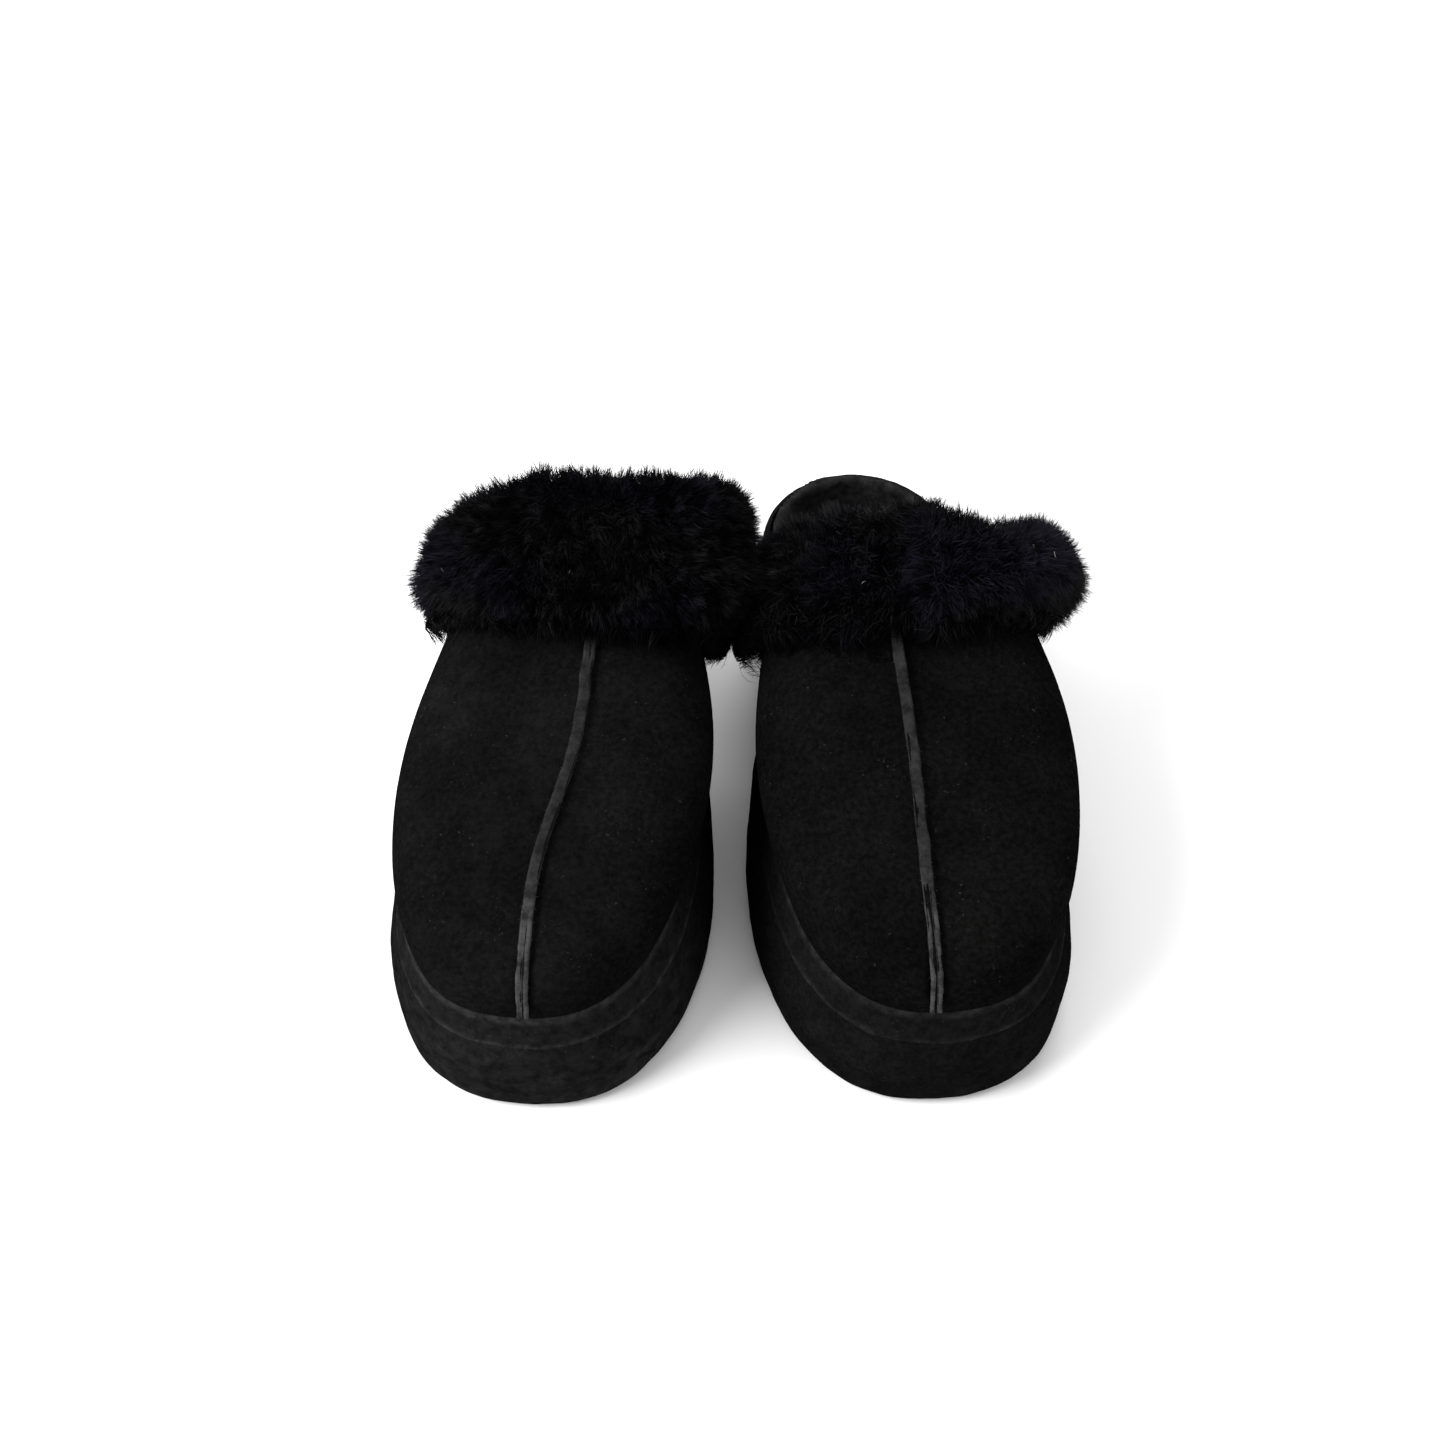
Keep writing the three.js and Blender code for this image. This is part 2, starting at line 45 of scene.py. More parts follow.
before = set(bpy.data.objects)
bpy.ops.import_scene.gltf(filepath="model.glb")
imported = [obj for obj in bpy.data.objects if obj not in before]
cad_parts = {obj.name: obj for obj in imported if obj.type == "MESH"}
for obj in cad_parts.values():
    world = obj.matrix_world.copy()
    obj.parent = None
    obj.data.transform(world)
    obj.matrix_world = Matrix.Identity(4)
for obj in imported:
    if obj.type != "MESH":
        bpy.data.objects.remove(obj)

MM = 0.001
SIDES = ("left", "right")
DUST_AND_SIDE_LIGHT = {"left": 2.1, "right": 0.6}  # how dusty each slipper's suede is, and painted light: the left slipper is painted lighter and the right one darker, as if lit from the left
CURL = {"left": 0.9, "right": 1.6}  # how matted and curly each collar's fur is
HAIR_END_LIGHTNESS = {"left": 1.0, "right": 1.35}  # how pale the ends of each collar's hairs are
OUTWARD = {"left": -1, "right": 1}
SEED = 7

# Finishes that the settings don't hold
FLECK_COLOUR = (0.06, 0.06, 0.058)  # specks of dust in the suede
RUBBER_COLOUR = (0.007, 0.0058, 0.005)
RUBBER_DUST_COLOUR = (0.017, 0.014, 0.012)
FOAM_COLOUR = (0.05, 0.05, 0.052)
BOARD_COLOUR = (0.2, 0.18, 0.15)
LINT_COLOUR = (0.3, 0.29, 0.26)
FLEECE_SHADE = 0.5  # the fleece's brightness as a share of the fur's
FLOOR_MOTTLE = 0.985

# Cages: how CAD nodes are turned into quads for smoothing
WELD = 0.01 * MM
FLAT_JOIN = math.radians(35)
QUAD_SHAPE = math.radians(120)
SHARP_EDGE = math.radians(50)
CREASE = 0.55
SHRINK_GIVEN_BACK = 0.9

# Seam strip
SEAM_STEPS = 160
SEAM_TURNS = 20
SEAM_HALF_WIDTH = 2.15 * MM
SEAM_HALF_HEIGHT = 0.95 * MM
SEAM_CLEFT = 0.85 * MM
SEAM_FIBRES = 90

# Platform: how far the suede flares and drops at its foot, and how the band's lip stands proud
WALL_FLARE = 0.7 * MM
WALL_DROP = 1.2 * MM
RAND_FLARE = 0.75 * MM
RAND_DROP = 1.3 * MM
RAND_LIP = 0.5 * MM
RAND_LIP_RISE = 0.9 * MM

# Heel
HEEL_LEAN = 4 * MM  # at the top, towards the middle of the pair
HEEL_FLARE = 0.8 * MM
HEEL_WAVE = 0.8 * MM
HEEL_EDGE_DROP = 1.6 * MM
PAD_VOXEL = 1.6 * MM
PAD_PRESSURE = 4.0
PAD_CAP = 2.5 * MM
PAD_FRAMES = 14
PAD_SWELL = 1.4 * MM
PAD_FOLDS = 1.5 * MM
PAD_TUCK = 2.6 * MM
PAD_RISE = 1.6 * MM

# Outsole
OUTLINE_POINTS = 240
TREAD_PITCH = 12 * MM
TREAD_GROOVE = 3.4 * MM
TREAD_DEPTH = 1.7 * MM

# Fur: the height of each coat, and how far hairs stray from a direction or height of one
COATS = {"under": 0.82, "middle": 0.92, "guard": 1.0}
TUFT_STRAY = 0.46
TUFT_HEIGHT_STRAY = 0.19
HAIR_STRAY = 0.22
LINT_FIBRES = 4
SEAT_GAP = 1.3 * MM  # no fur grows where the collar lies this close to the vamp
TRIM_REACH = 8 * MM  # the hide is cut away this close to the vamp
# How the fur fills out each collar, in mm: the outward rear corner sideways, the rear edge back and up,
# and the inward rear corner down. The crown is where the rise fades out, as shares of the width.
PLUMP = {
    "left": {"corner": 5.5, "back": 4.0, "up": 6.0, "drop": 4.5, "crown": (0.04, 0.42)},
    "right": {"corner": 0.0, "back": 2.0, "up": 2.0, "drop": 0.0, "crown": (0.2, 0.45)},
}
END_TUCK = 2.8 * MM

# Camera: it looks down on the toes.
CAMERA_TARGET = Vector((-7.0, 23.2, 29.5)) * MM
CAMERA_DISTANCE = 687.4 * MM
CAMERA_ELEVATION = math.radians(52.3)
CAMERA_LENS = 41.3

# Lights: place in metres, size, share of the base power
LIGHTS = {
    "key": ((-1.1, -0.35, 1.15), 0.9, 1.25),
    "fill": ((0.9, -0.9, 1.1), 1.2, 0.12),
    "back": ((0.35, 1.2, 1.2), 1.0, 0.6),
}
LIGHT_TARGET = (0, 0, 0.05)
SKY_STRENGTH = 0.75


def body_name(side):
    return f"{side}_slipper"


# ---- settings ----
def colour(name, text, value):
    return bpy.props.FloatVectorProperty(
        name=name, description=text, subtype="COLOR", size=3, min=0, max=1, default=value
    )


def length(name, text, value):
    return bpy.props.FloatProperty(
        name=name, description=text, subtype="DISTANCE", unit="LENGTH", default=value * MM, min=0
    )


class SuedeSettings(bpy.types.PropertyGroup):
    """Colours and wear of the suede."""
    # Colours of the suede, with its rubbed edges, dust and painted light.

    base: colour("Suede", "Colour of the napped suede", (0.0029, 0.0029, 0.0030))
    tint: colour("Mottle", "Second colour in the nap's mottling", (0.0049, 0.0048, 0.0047))
    # This rubbed-edge colour is also the one that the painted light and shade on the band, wall and heel
    # pad mix towards.
    worn_and_lit: colour("Worn_and_lit", "Colour where edges are rubbed", (0.026, 0.026, 0.027))
    # The raw-edge colour is also the one that the vamps' dust and painted light and the seam strip's
    # painted sheen mix towards.
    raw: colour("Raw edge", "Colour of the cut edges along the centre seam", (0.085, 0.085, 0.087))
    rumple: length("Rumple", "How far the soft upper wanders from its smooth shape", 0.9)


class FurSettings(bpy.types.PropertyGroup):
    """Size and colour of the collar's fur and the fleece."""

    root: colour("Root", "Colour deep in the fur", (0.0010, 0.0010, 0.0014))
    tip: colour("Tip", "Colour at the ends of the hairs", (0.0178, 0.0174, 0.0178))
    cast: colour("Cast", "Faded tone of the hair ends in patches", (0.0185, 0.0163, 0.0270))
    depth: length("Depth", "How deep the fur's roots lie under the collar's shape", 10)
    hairs: bpy.props.IntProperty(name="Hairs", description="Hairs in each coat", default=39000, min=100)
    tufts: bpy.props.IntProperty(name="Tufts", description="Tufts in each coat", default=5200, min=10)
    width: length("Width", "Width of a hair strand at its root", 0.42)


class StageSettings(bpy.types.PropertyGroup):
    """Floor and light."""

    floor: colour("Floor", "Colour of the floor", (0.9, 0.9, 0.9))
    power: bpy.props.FloatProperty(name="Light", description="Base power, watts", default=26, min=0)


# ---- mesh helpers ----
def new_object(name, mesh):
    obj = bpy.data.objects.new(name, mesh)
    bpy.context.scene.collection.objects.link(obj)
    return obj


def mesh_from(name, points, faces):
    mesh = bpy.data.meshes.new(name)
    mesh.from_pydata([tuple(p) for p in points], [], faces)
    mesh.validate()
    mesh.update()
    return mesh


def shade_smooth(mesh):
    mesh.polygons.foreach_set("use_smooth", [True] * len(mesh.polygons))


def coords(mesh):
    values = np.empty(len(mesh.vertices) * 3)
    mesh.vertices.foreach_get("co", values)
    return values.reshape(-1, 3)


def normals(mesh):
    values = np.empty(len(mesh.vertices) * 3)
    mesh.vertices.foreach_get("normal", values)
    return values.reshape(-1, 3)


def set_coords(mesh, points):
    mesh.vertices.foreach_set("co", points.reshape(-1))
    mesh.update()


def set_attribute(mesh, name, values):
    """Stores one number per point for the materials to read."""
    layer = mesh.attributes.new(name, "FLOAT", "POINT")
    layer.data.foreach_set("value", np.asarray(values, dtype=float))


def quads_of(node):
    """A clean quad cage from a CAD node, with its sharp edges creased."""
    cage = bmesh.new()
    cage.from_mesh(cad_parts[node].data)
    bmesh.ops.remove_doubles(cage, verts=cage.verts, dist=WELD)
    bmesh.ops.join_triangles(
        cage, faces=cage.faces, angle_face_threshold=FLAT_JOIN, angle_shape_threshold=QUAD_SHAPE
    )
    crease = cage.edges.layers.float.get("crease_edge") or cage.edges.layers.float.new("crease_edge")
    for edge in cage.edges:
        if len(edge.link_faces) == 2 and edge.calc_face_angle(0) > SHARP_EDGE:
            edge[crease] = CREASE
    return cage


def evaluated(obj):
    """The object's mesh with its modifiers applied."""
    graph = bpy.context.evaluated_depsgraph_get()
    return bpy.data.meshes.new_from_object(obj.evaluated_get(graph))


def subdivided(cage, name, levels):
    """Smooth mesh whose surface still passes through the cage's corners."""
    mesh = bpy.data.meshes.new(name)
    cage.to_mesh(mesh)
    cage.free()
    obj = new_object(name, mesh)
    modifier = obj.modifiers.new("Smooth", "SUBSURF")
    modifier.levels = levels
    modifier.render_levels = levels
    corners = coords(mesh)
    set_coords(mesh, corners + (corners - coords(evaluated(obj))[: len(corners)]) * SHRINK_GIVEN_BACK)
    result = evaluated(obj)
    obj.modifiers.clear()
    obj.data = result
    result.name = name
    shade_smooth(result)
    return obj


def soft_copy(node, name, levels):
    """The smoothed form of a CAD node."""
    return subdivided(quads_of(node), name, levels)


def tree_of(*meshes):
    """A search tree over the faces of several meshes."""
    points = []
    faces = []
    for mesh in meshes:
        start = len(points)
        points += [v.co.copy() for v in mesh.vertices]
        faces += [[start + i for i in p.vertices] for p in mesh.polygons]
    return BVHTree.FromPolygons(points, faces)


def distances(tree, points):
    """How far each point lies from the tree's faces."""
    return np.array([tree.find_nearest(Vector(p))[3] for p in points])


def rumpled(points, size, amount, seed):
    """Smooth noise at the points, in waves of the given size."""
    offset = Vector((seed * 3.1, seed * 1.7, 0))
    decay, lacunarity, octaves = 1, 2, 3
    waves = [noise.fractal(Vector(p) / size + offset, decay, lacunarity, octaves) for p in points]
    return np.array(waves) * amount


def smoothstep(values, low, high):
    """A soft rise from 0 at low to 1 at high."""
    t = np.clip((np.asarray(values) - low) / (high - low), 0, 1)
    return t * t * (3 - 2 * t)


# ---- material helpers ----
def socket(group, name, kind, way="INPUT", default=None):
    item = group.interface.new_socket(name=name, in_out=way, socket_type=kind)
    if default is not None:
        item.default_value = default


class Builder:
    """Adds and links nodes in a material or node group."""

    def __init__(self, tree):
        self.tree = tree

    def node(self, kind, **inputs):
        made = self.tree.nodes.new(kind)
        for key, value in inputs.items():
            self.put(made, key, value)
        return made

    def put(self, node, key, value):
        """Sets or links an input, named by its label or, as i0 or i1, by its number."""
        name = key.replace("_", " ")
        target = node.inputs[name] if name in node.inputs else node.inputs[int(key[1:])]
        if isinstance(value, bpy.types.NodeSocket):
            self.tree.links.new(value, target)
        else:
            target.default_value = value

    def math(self, operation, a, b=0.0, c=None):
        made = self.tree.nodes.new("ShaderNodeMath")
        made.operation = operation
        self.put(made, "i0", a)
        self.put(made, "i1", b)
        if c is not None:
            self.put(made, "i2", c)
        return made.outputs[0]

    def mix(self, factor, a, b):
        made = self.tree.nodes.new("ShaderNodeMix")
        made.data_type = "RGBA"
        self.put(made, "i0", factor)
        self.put(made, "i6", a)
        self.put(made, "i7", b)
        return made.outputs[2]

    def noise(self, scale, detail=4.0, roughness=0.6, vector=None):
        made = self.node("ShaderNodeTexNoise", Scale=scale, Detail=detail, Roughness=roughness)
        if vector is not None:
            self.put(made, "Vector", vector)
        return made.outputs[0]

    def ramp(self, value, low, high):
        made = self.node("ShaderNodeMapRange", From_Min=low, From_Max=high)
        self.put(made, "Value", value)
        made.interpolation_type = "SMOOTHSTEP"
        return made.outputs[0]

    def attribute(self, name):
        made = self.tree.nodes.new("ShaderNodeAttribute")
        made.attribute_name = name
        return made.outputs["Fac"]


def rgba(value):
    return (*value, 1.0)


def group_tree(name):
    tree = bpy.data.node_groups.new(name, "ShaderNodeTree")
    tree.nodes.new("NodeGroupInput")
    tree.nodes.new("NodeGroupOutput")
    return tree


def group_ends(tree):
    ends = {n.bl_idname: n for n in tree.nodes}
    return ends["NodeGroupInput"].outputs, ends["NodeGroupOutput"].inputs


def suede_group():
    """Napped suede: mottled colour, fine grain, lint specks, and rubbed edges together with the painted
    light, shade and sheen that the pieces mix in.
    """
    name = "Suede nap"
    if name in bpy.data.node_groups:
        return bpy.data.node_groups[name]
    tree = group_tree(name)
    for label in ("Base", "Mottle", "Worn_and_lit"):
        socket(tree, label, "NodeSocketColor")
    socket(tree, "Wear_and_painted_light", "NodeSocketFloat", default=0.0)
    socket(tree, "Grain", "NodeSocketFloat", default=1.0)
    socket(tree, "Colour", "NodeSocketColor", "OUTPUT")
    socket(tree, "Roughness", "NodeSocketFloat", "OUTPUT")
    socket(tree, "Height", "NodeSocketFloat", "OUTPUT")
    given, result = group_ends(tree)
    make = Builder(tree)
    place = make.node("ShaderNodeTexCoord").outputs["Object"]
    cloud = make.ramp(make.noise(28.0, detail=5.0, roughness=0.62, vector=place), low=0.36, high=0.68)
    fine = make.noise(1700.0, detail=3.0, roughness=0.7, vector=place)
    grain = make.noise(520.0, detail=5.0, roughness=0.72, vector=place)
    shade = make.mix(cloud, given["Base"], given["Mottle"])
    speckle = make.ramp(grain, low=0.32, high=0.74)
    lift = make.math("MULTIPLY_ADD", speckle, 0.9, 0.5)
    mottled = make.node("ShaderNodeVectorMath", i0=shade)
    mottled.operation = "SCALE"
    make.put(mottled, "Scale", lift)
    patchy = make.ramp(make.noise(190.0, detail=4.0, roughness=0.7, vector=place), low=0.3, high=0.7)
    # Painted light: the mask that the pieces give carries real rubbing and dust together with painted
    # light, shade and sheen, all mixed towards the rubbed-edge colour here.
    rub_and_painted_light = make.math("MULTIPLY", given["Wear_and_painted_light"], make.math("MULTIPLY_ADD", patchy, 0.75, 0.25))
    rubbed = make.mix(rub_and_painted_light, mottled.outputs[0], given["Worn_and_lit"])
    flecks = make.ramp(make.noise(760.0, detail=2.0, roughness=0.55, vector=place), low=0.66, high=0.74)
    few = make.ramp(make.noise(90.0, detail=2.0, roughness=0.5, vector=place), low=0.5, high=0.62)
    dust = make.math("MULTIPLY", make.math("MULTIPLY", flecks, few), 0.3)
    dusted = make.mix(dust, rubbed, rgba(FLECK_COLOUR))
    tree.links.new(dusted, result["Colour"])
    rough = make.math("MULTIPLY_ADD", grain, 0.18, 0.78)
    tree.links.new(rough, result["Roughness"])
    nap = make.math("ADD", make.math("MULTIPLY", grain, 0.65), make.math("MULTIPLY", fine, 0.35))
    height = make.math("MULTIPLY", nap, given["Grain"])
    tree.links.new(height, result["Height"])
    return tree


def pile_group():
    """Fur and fleece: dark at the root, lighter and tinted at the tip, varied tuft by tuft. On the collars
    the tuft value also carries painted shade near the vamps.
    """
    name = "Pile"
    if name in bpy.data.node_groups:
        return bpy.data.node_groups[name]
    tree = group_tree(name)
    socket(tree, "Root", "NodeSocketColor")
    socket(tree, "Tip", "NodeSocketColor")
    socket(tree, "Cast", "NodeSocketColor")
    socket(tree, "Along", "NodeSocketFloat", default=0.5)
    socket(tree, "Tuft", "NodeSocketFloat", default=0.5)
    socket(tree, "Colour", "NodeSocketColor", "OUTPUT")
    socket(tree, "Roughness", "NodeSocketFloat", "OUTPUT")
    given, result = group_ends(tree)
    make = Builder(tree)
    place = make.node("ShaderNodeTexCoord").outputs["Object"]
    rise = make.math("POWER", given["Along"], 1.5)
    drift = make.ramp(make.noise(105.0, detail=3.0, roughness=0.6, vector=place), low=0.36, high=0.64)
    strength = make.math("MULTIPLY_ADD", given["Tuft"], 0.7, make.math("MULTIPLY", drift, 0.5))
    fade = make.math("MAXIMUM", make.math("MULTIPLY", rise, strength), 0.0)
    patch = make.ramp(make.noise(19.0, detail=2.0, roughness=0.5, vector=place), low=0.4, high=0.62)
    ends = make.mix(patch, given["Tip"], given["Cast"])
    tree.links.new(make.mix(fade, given["Root"], ends), result["Colour"])
    tree.links.new(make.math("MULTIPLY_ADD", drift, 0.12, 0.46), result["Roughness"])
    return tree


def material(name, fill, roughness=None, shine=0.3, bump=0.0, depth=0.4):
    """A Principled material whose colour, roughness and height come from fill(make), depth in mm."""
    if name in bpy.data.materials:
        return bpy.data.materials[name]
    made = bpy.data.materials.new(name)
    made.use_nodes = True
    tree = made.node_tree
    shader = tree.nodes["Principled BSDF"]
    shader.inputs["Specular IOR Level"].default_value = shine
    make = Builder(tree)
    parts = fill(make)
    tree.links.new(parts["Colour"], shader.inputs["Base Color"])
    if roughness is None:
        tree.links.new(parts["Roughness"], shader.inputs["Roughness"])
    else:
        shader.inputs["Roughness"].default_value = roughness
    if bump:
        relief = tree.nodes.new("ShaderNodeBump")
        relief.inputs["Strength"].default_value = bump
        relief.inputs["Distance"].default_value = depth * MM
        tree.links.new(parts["Height"], relief.inputs["Height"])
        tree.links.new(relief.outputs[0], shader.inputs["Normal"])
    return made


def grouped(tree, inputs):
    """A fill for material() that places a node group with its own values."""

    def fill(make):
        made = make.tree.nodes.new("ShaderNodeGroup")
        made.node_tree = tree
        for label, value in inputs.items():
            if callable(value):
                make.tree.links.new(value(make), made.inputs[label])
            else:
                made.inputs[label].default_value = value
        return made.outputs

    return fill


def suede_material(name, base, tint, worn_and_lit, grain=1.0):
    inputs = {
        "Base": rgba(base),
        "Mottle": rgba(tint),
        "Worn_and_lit": rgba(worn_and_lit),
        "Wear_and_painted_light": lambda make: make.attribute("wear_and_painted_light"),
        "Grain": grain,
    }
    return material(name, grouped(suede_group(), inputs), shine=0.0, bump=0.6, depth=0.6)


def pile_material(name, root, tip, cast):
    inputs = {
        "Root": rgba(root),
        "Tip": rgba(tip),
        "Cast": rgba(cast),
        "Along": lambda make: make.attribute("along"),
        "Tuft": lambda make: make.attribute("tuft"),
    }
    return material(name, grouped(pile_group(), inputs), shine=0.03)


def upper_suede():
    s = bpy.context.scene.slipper_suede
    return suede_material("Black suede", s.base, s.tint, s.raw)


def band_suede():
    s = bpy.context.scene.slipper_suede
    return suede_material("Worn suede", s.base, s.tint, s.worn_and_lit)


def fur_material():
    f = bpy.context.scene.slipper_fur
    return pile_material("Black fur", f.root, f.tip, f.cast)


def fleece_material():
    f = bpy.context.scene.slipper_fur
    tip, cast = ([v * FLEECE_SHADE for v in tone] for tone in (f.tip, f.cast))
    return pile_material("Black fleece", f.root, tip, cast)


def speckled(name, tone):
    """A plain speckled finish for foam, board and lint."""

    def fill(make):
        place = make.node("ShaderNodeTexCoord").outputs["Object"]
        cells = make.noise(900.0, detail=3.0, roughness=0.6, vector=place)
        dark = tuple(v * 0.7 for v in tone)
        return {"Colour": make.mix(cells, rgba(dark), rgba(tone)), "Height": cells}

    return material(name, fill, roughness=0.9, bump=0.3, depth=0.2)


def rubber_material():
    def fill(make):
        place = make.node("ShaderNodeTexCoord").outputs["Object"]
        dust = make.ramp(make.noise(95.0, detail=6.0, roughness=0.7, vector=place), low=0.42, high=0.75)
        pebble = make.noise(1300.0, detail=2.0, roughness=0.5, vector=place)
        shade = make.mix(dust, rgba(RUBBER_COLOUR), rgba(RUBBER_DUST_COLOUR))
        rough = make.math("MULTIPLY_ADD", dust, 0.3, 0.5)
        return {"Colour": shade, "Roughness": rough, "Height": pebble}

    return material("Rubber", fill, bump=0.35, depth=0.2)


def finish_piece(obj, side, skin, *nodes, slot):
    """Gives a piece its material and body, and hides the CAD nodes that it replaces."""
    obj.data.materials.clear()
    obj.data.materials.append(skin)
    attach(obj, body_name(side))
    if nodes:
        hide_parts(*nodes)


# ---- pieces ----
def vamp(side, half):
    """One suede panel of the upper, softly rumpled above its foot."""
    s = bpy.context.scene.slipper_suede
    node = f"{side}_vamp_{half}"
    obj = soft_copy(node, f"{node}_suede", 3)
    points = coords(obj.data)
    wave = rumpled(points, 38 * MM, s.rumple, 3) + rumpled(points, 11 * MM, s.rumple * 0.16, 5)
    foot, top = 56 * MM, 72 * MM
    points[:, 2] += wave * smoothstep(points[:, 2], foot, top)
    set_coords(obj.data, points)
    dusty = smoothstep(rumpled(points, 30 * MM, 1.0, 23), -0.3, 0.5)
    # Painted light: the suede is painted lighter towards the left of the pair, as if lit from the left,
    # and the per-slipper dust factor paints the left slipper lighter still; the dusty patches are real
    # dust.
    paler = smoothstep(-points[:, 0], -10 * MM, 120 * MM)
    set_attribute(obj.data, "wear_and_painted_light", (0.008 + 0.014 * dusty) * (0.2 + paler) * DUST_AND_SIDE_LIGHT[side] ** 0.6)
    finish_piece(obj, side, upper_suede(), node, slot="suede")


def seam_line(side):
    """The top of the raised seam as evenly spaced points, and the middle that it curves round."""
    inward, outward = (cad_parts[f"{side}_vamp_{half}"].data for half in ("medial", "lateral"))
    points = coords(inward)
    touching, ridge, smoothings = 0.6 * MM, 3.4 * MM, 12
    points = points[distances(tree_of(outward), points) < touching]
    low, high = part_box(f"{side}_vamp_medial")
    core = np.array([points[:, 0].mean(), high[1], low[2]])
    far = np.linalg.norm((points - core)[:, 1:], axis=1)
    near = [np.linalg.norm(points - p, axis=1) < ridge for p in points]
    top = [i for i, beside in enumerate(near) if far[beside].max() <= far[i]]
    points = points[top]
    points = points[np.argsort(np.arctan2(points[:, 2] - core[2], core[1] - points[:, 1]))[::-1]]
    run = np.concatenate([[0], np.cumsum(np.linalg.norm(np.diff(points, axis=0), axis=1))])
    even = np.linspace(0, run[-1], SEAM_STEPS)
    line = np.stack([np.interp(even, run, points[:, k]) for k in range(3)], axis=1)
    for _ in range(smoothings):
        line[1:-1] = (line[:-2] + 2 * line[1:-1] + line[2:]) / 4
    return line, core


def seam(side):
    """The flat strip along the centre seam: two raw edges pressed together, parted towards the ends."""
    line, core = seam_line(side)
    rng = np.random.default_rng(SEED + 31)
    count = len(line)
    share = np.linspace(0, 1, count)
    ahead = unit(np.gradient(line, axis=0))
    across = unit(np.cross(ahead, line - core))
    across *= np.sign(across[:, :1])
    up = unit(np.cross(across, ahead))
    up *= np.sign(np.sum(up * (line - core), axis=1))[:, None]
    wander = rumpled(line, 9 * MM, 0.3 * MM, 3)
    centre = line + across * wander[:, None] - up * 0.3 * MM
    half = SEAM_HALF_WIDTH + rumpled(line, 5 * MM, 0.16 * MM, 8)
    tall = SEAM_HALF_HEIGHT + rumpled(line, 9 * MM, 0.16 * MM, 12)
    parted = np.maximum(smoothstep(share, 0.62, 0.8), 1 - smoothstep(share, 0.02, 0.16))
    rings = []
    for i in range(SEAM_TURNS):
        angle = 2 * math.pi * i / SEAM_TURNS
        flat = math.copysign(abs(math.cos(angle)) ** 0.6, math.cos(angle))
        rise = math.sin(angle)
        cleft = parted * SEAM_CLEFT * math.exp(-((flat / 0.24) ** 2)) * max(0, rise)
        rings.append(centre + across * (half * flat)[:, None] + up * (tall * rise - cleft)[:, None])
    points = np.stack(rings, axis=1)
    points += rng.normal(scale=0.03 * MM, size=points.shape)
    faces = []
    for r in range(count - 1):
        this, after = r * SEAM_TURNS, (r + 1) * SEAM_TURNS
        for c in range(SEAM_TURNS):
            n = (c + 1) % SEAM_TURNS
            faces.append((this + c, this + n, after + n, after + c))
    last = (count - 1) * SEAM_TURNS
    faces += [tuple(range(SEAM_TURNS))[::-1], tuple(range(last, last + SEAM_TURNS))]
    mesh = mesh_from(f"{side}_seam_strip", points.reshape(-1, 3), faces)
    shade_smooth(mesh)
    # Painted sheen: the pale raw-edge colour is real, but the strip is painted lighter from the middle
    # towards the toe, and a little at the top end.
    wear_and_painted_light = 0.24 + 0.36 * smoothstep(share, 0.6, 0.8) + 0.08 * smoothstep(0.2 - share, 0, 0.2)
    set_attribute(mesh, "wear_and_painted_light", np.repeat(wear_and_painted_light, SEAM_TURNS))
    finish_piece(new_object(f"{side}_seam_strip", mesh), side, upper_suede(), slot="suede")
    loose_fibres(side, centre, across, up, half, rng)


def loose_fibres(side, centre, across, up, half, rng):
    """Frayed fibres that stick out from both edges of the seam strip."""
    pick = rng.integers(2, len(centre) - 2, SEAM_FIBRES)
    way = rng.choice([-1.0, 1.0], len(pick))[:, None]
    roots = centre[pick] + across[pick] * half[pick, None] * way * 0.85
    stray = rng.normal(scale=0.5, size=roots.shape)
    reach = rng.uniform(0.5, 1.5, len(pick))[:, None] * MM
    tips = roots + unit(across[pick] * way + up[pick] * 0.5 + stray) * reach
    width = np.full(len(pick), 0.22 * MM)
    bend = rng.normal(scale=0.3 * MM, size=len(pick))
    mesh = strands(f"{side}_seam_fibres", roots, tips, width, bend, rng.random(len(pick)), rng)
    set_attribute(mesh, "wear_and_painted_light", np.full(len(mesh.vertices), 0.4))
    finish_piece(new_object(f"{side}_seam_fibres", mesh), side, upper_suede(), slot="suede")


def wall(side):
    """The wrapped wall of the platform."""
    node = f"{side}_platform_wrap"
    low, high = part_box(node)
    obj = soft_copy(node, f"{node}_suede", 3)
    points = coords(obj.data)
    share = (points[:, 2] - low[2]) / (high[2] - low[2])
    wave = rumpled(points, 24 * MM, 0.45 * MM, 2) + rumpled(points, 7 * MM, 0.12 * MM, 6)
    foot = 1 - smoothstep(share, 0.02, 0.25)
    points += normals(obj.data) * (wave + foot * WALL_FLARE)[:, None]
    points[:, 2] -= foot * WALL_DROP
    set_coords(obj.data, points)
    toe = smoothstep(-points[:, 1], 40 * MM, 120 * MM)
    scuff = smoothstep(rumpled(points, 14 * MM, 1.0, 21), 0.0, 0.5)
    # Painted light: the per-slipper dust factor also paints the left wall lighter and the right one
    # darker, as if lit from the left.
    wear_and_painted_light = DUST_AND_SIDE_LIGHT[side] * (toe * (0.13 + 0.1 * scuff) + foot * 0.1 + 0.02)
    set_attribute(obj.data, "wear_and_painted_light", np.clip(wear_and_painted_light, 0, 1))
    finish_piece(obj, side, band_suede(), node, slot="suede")


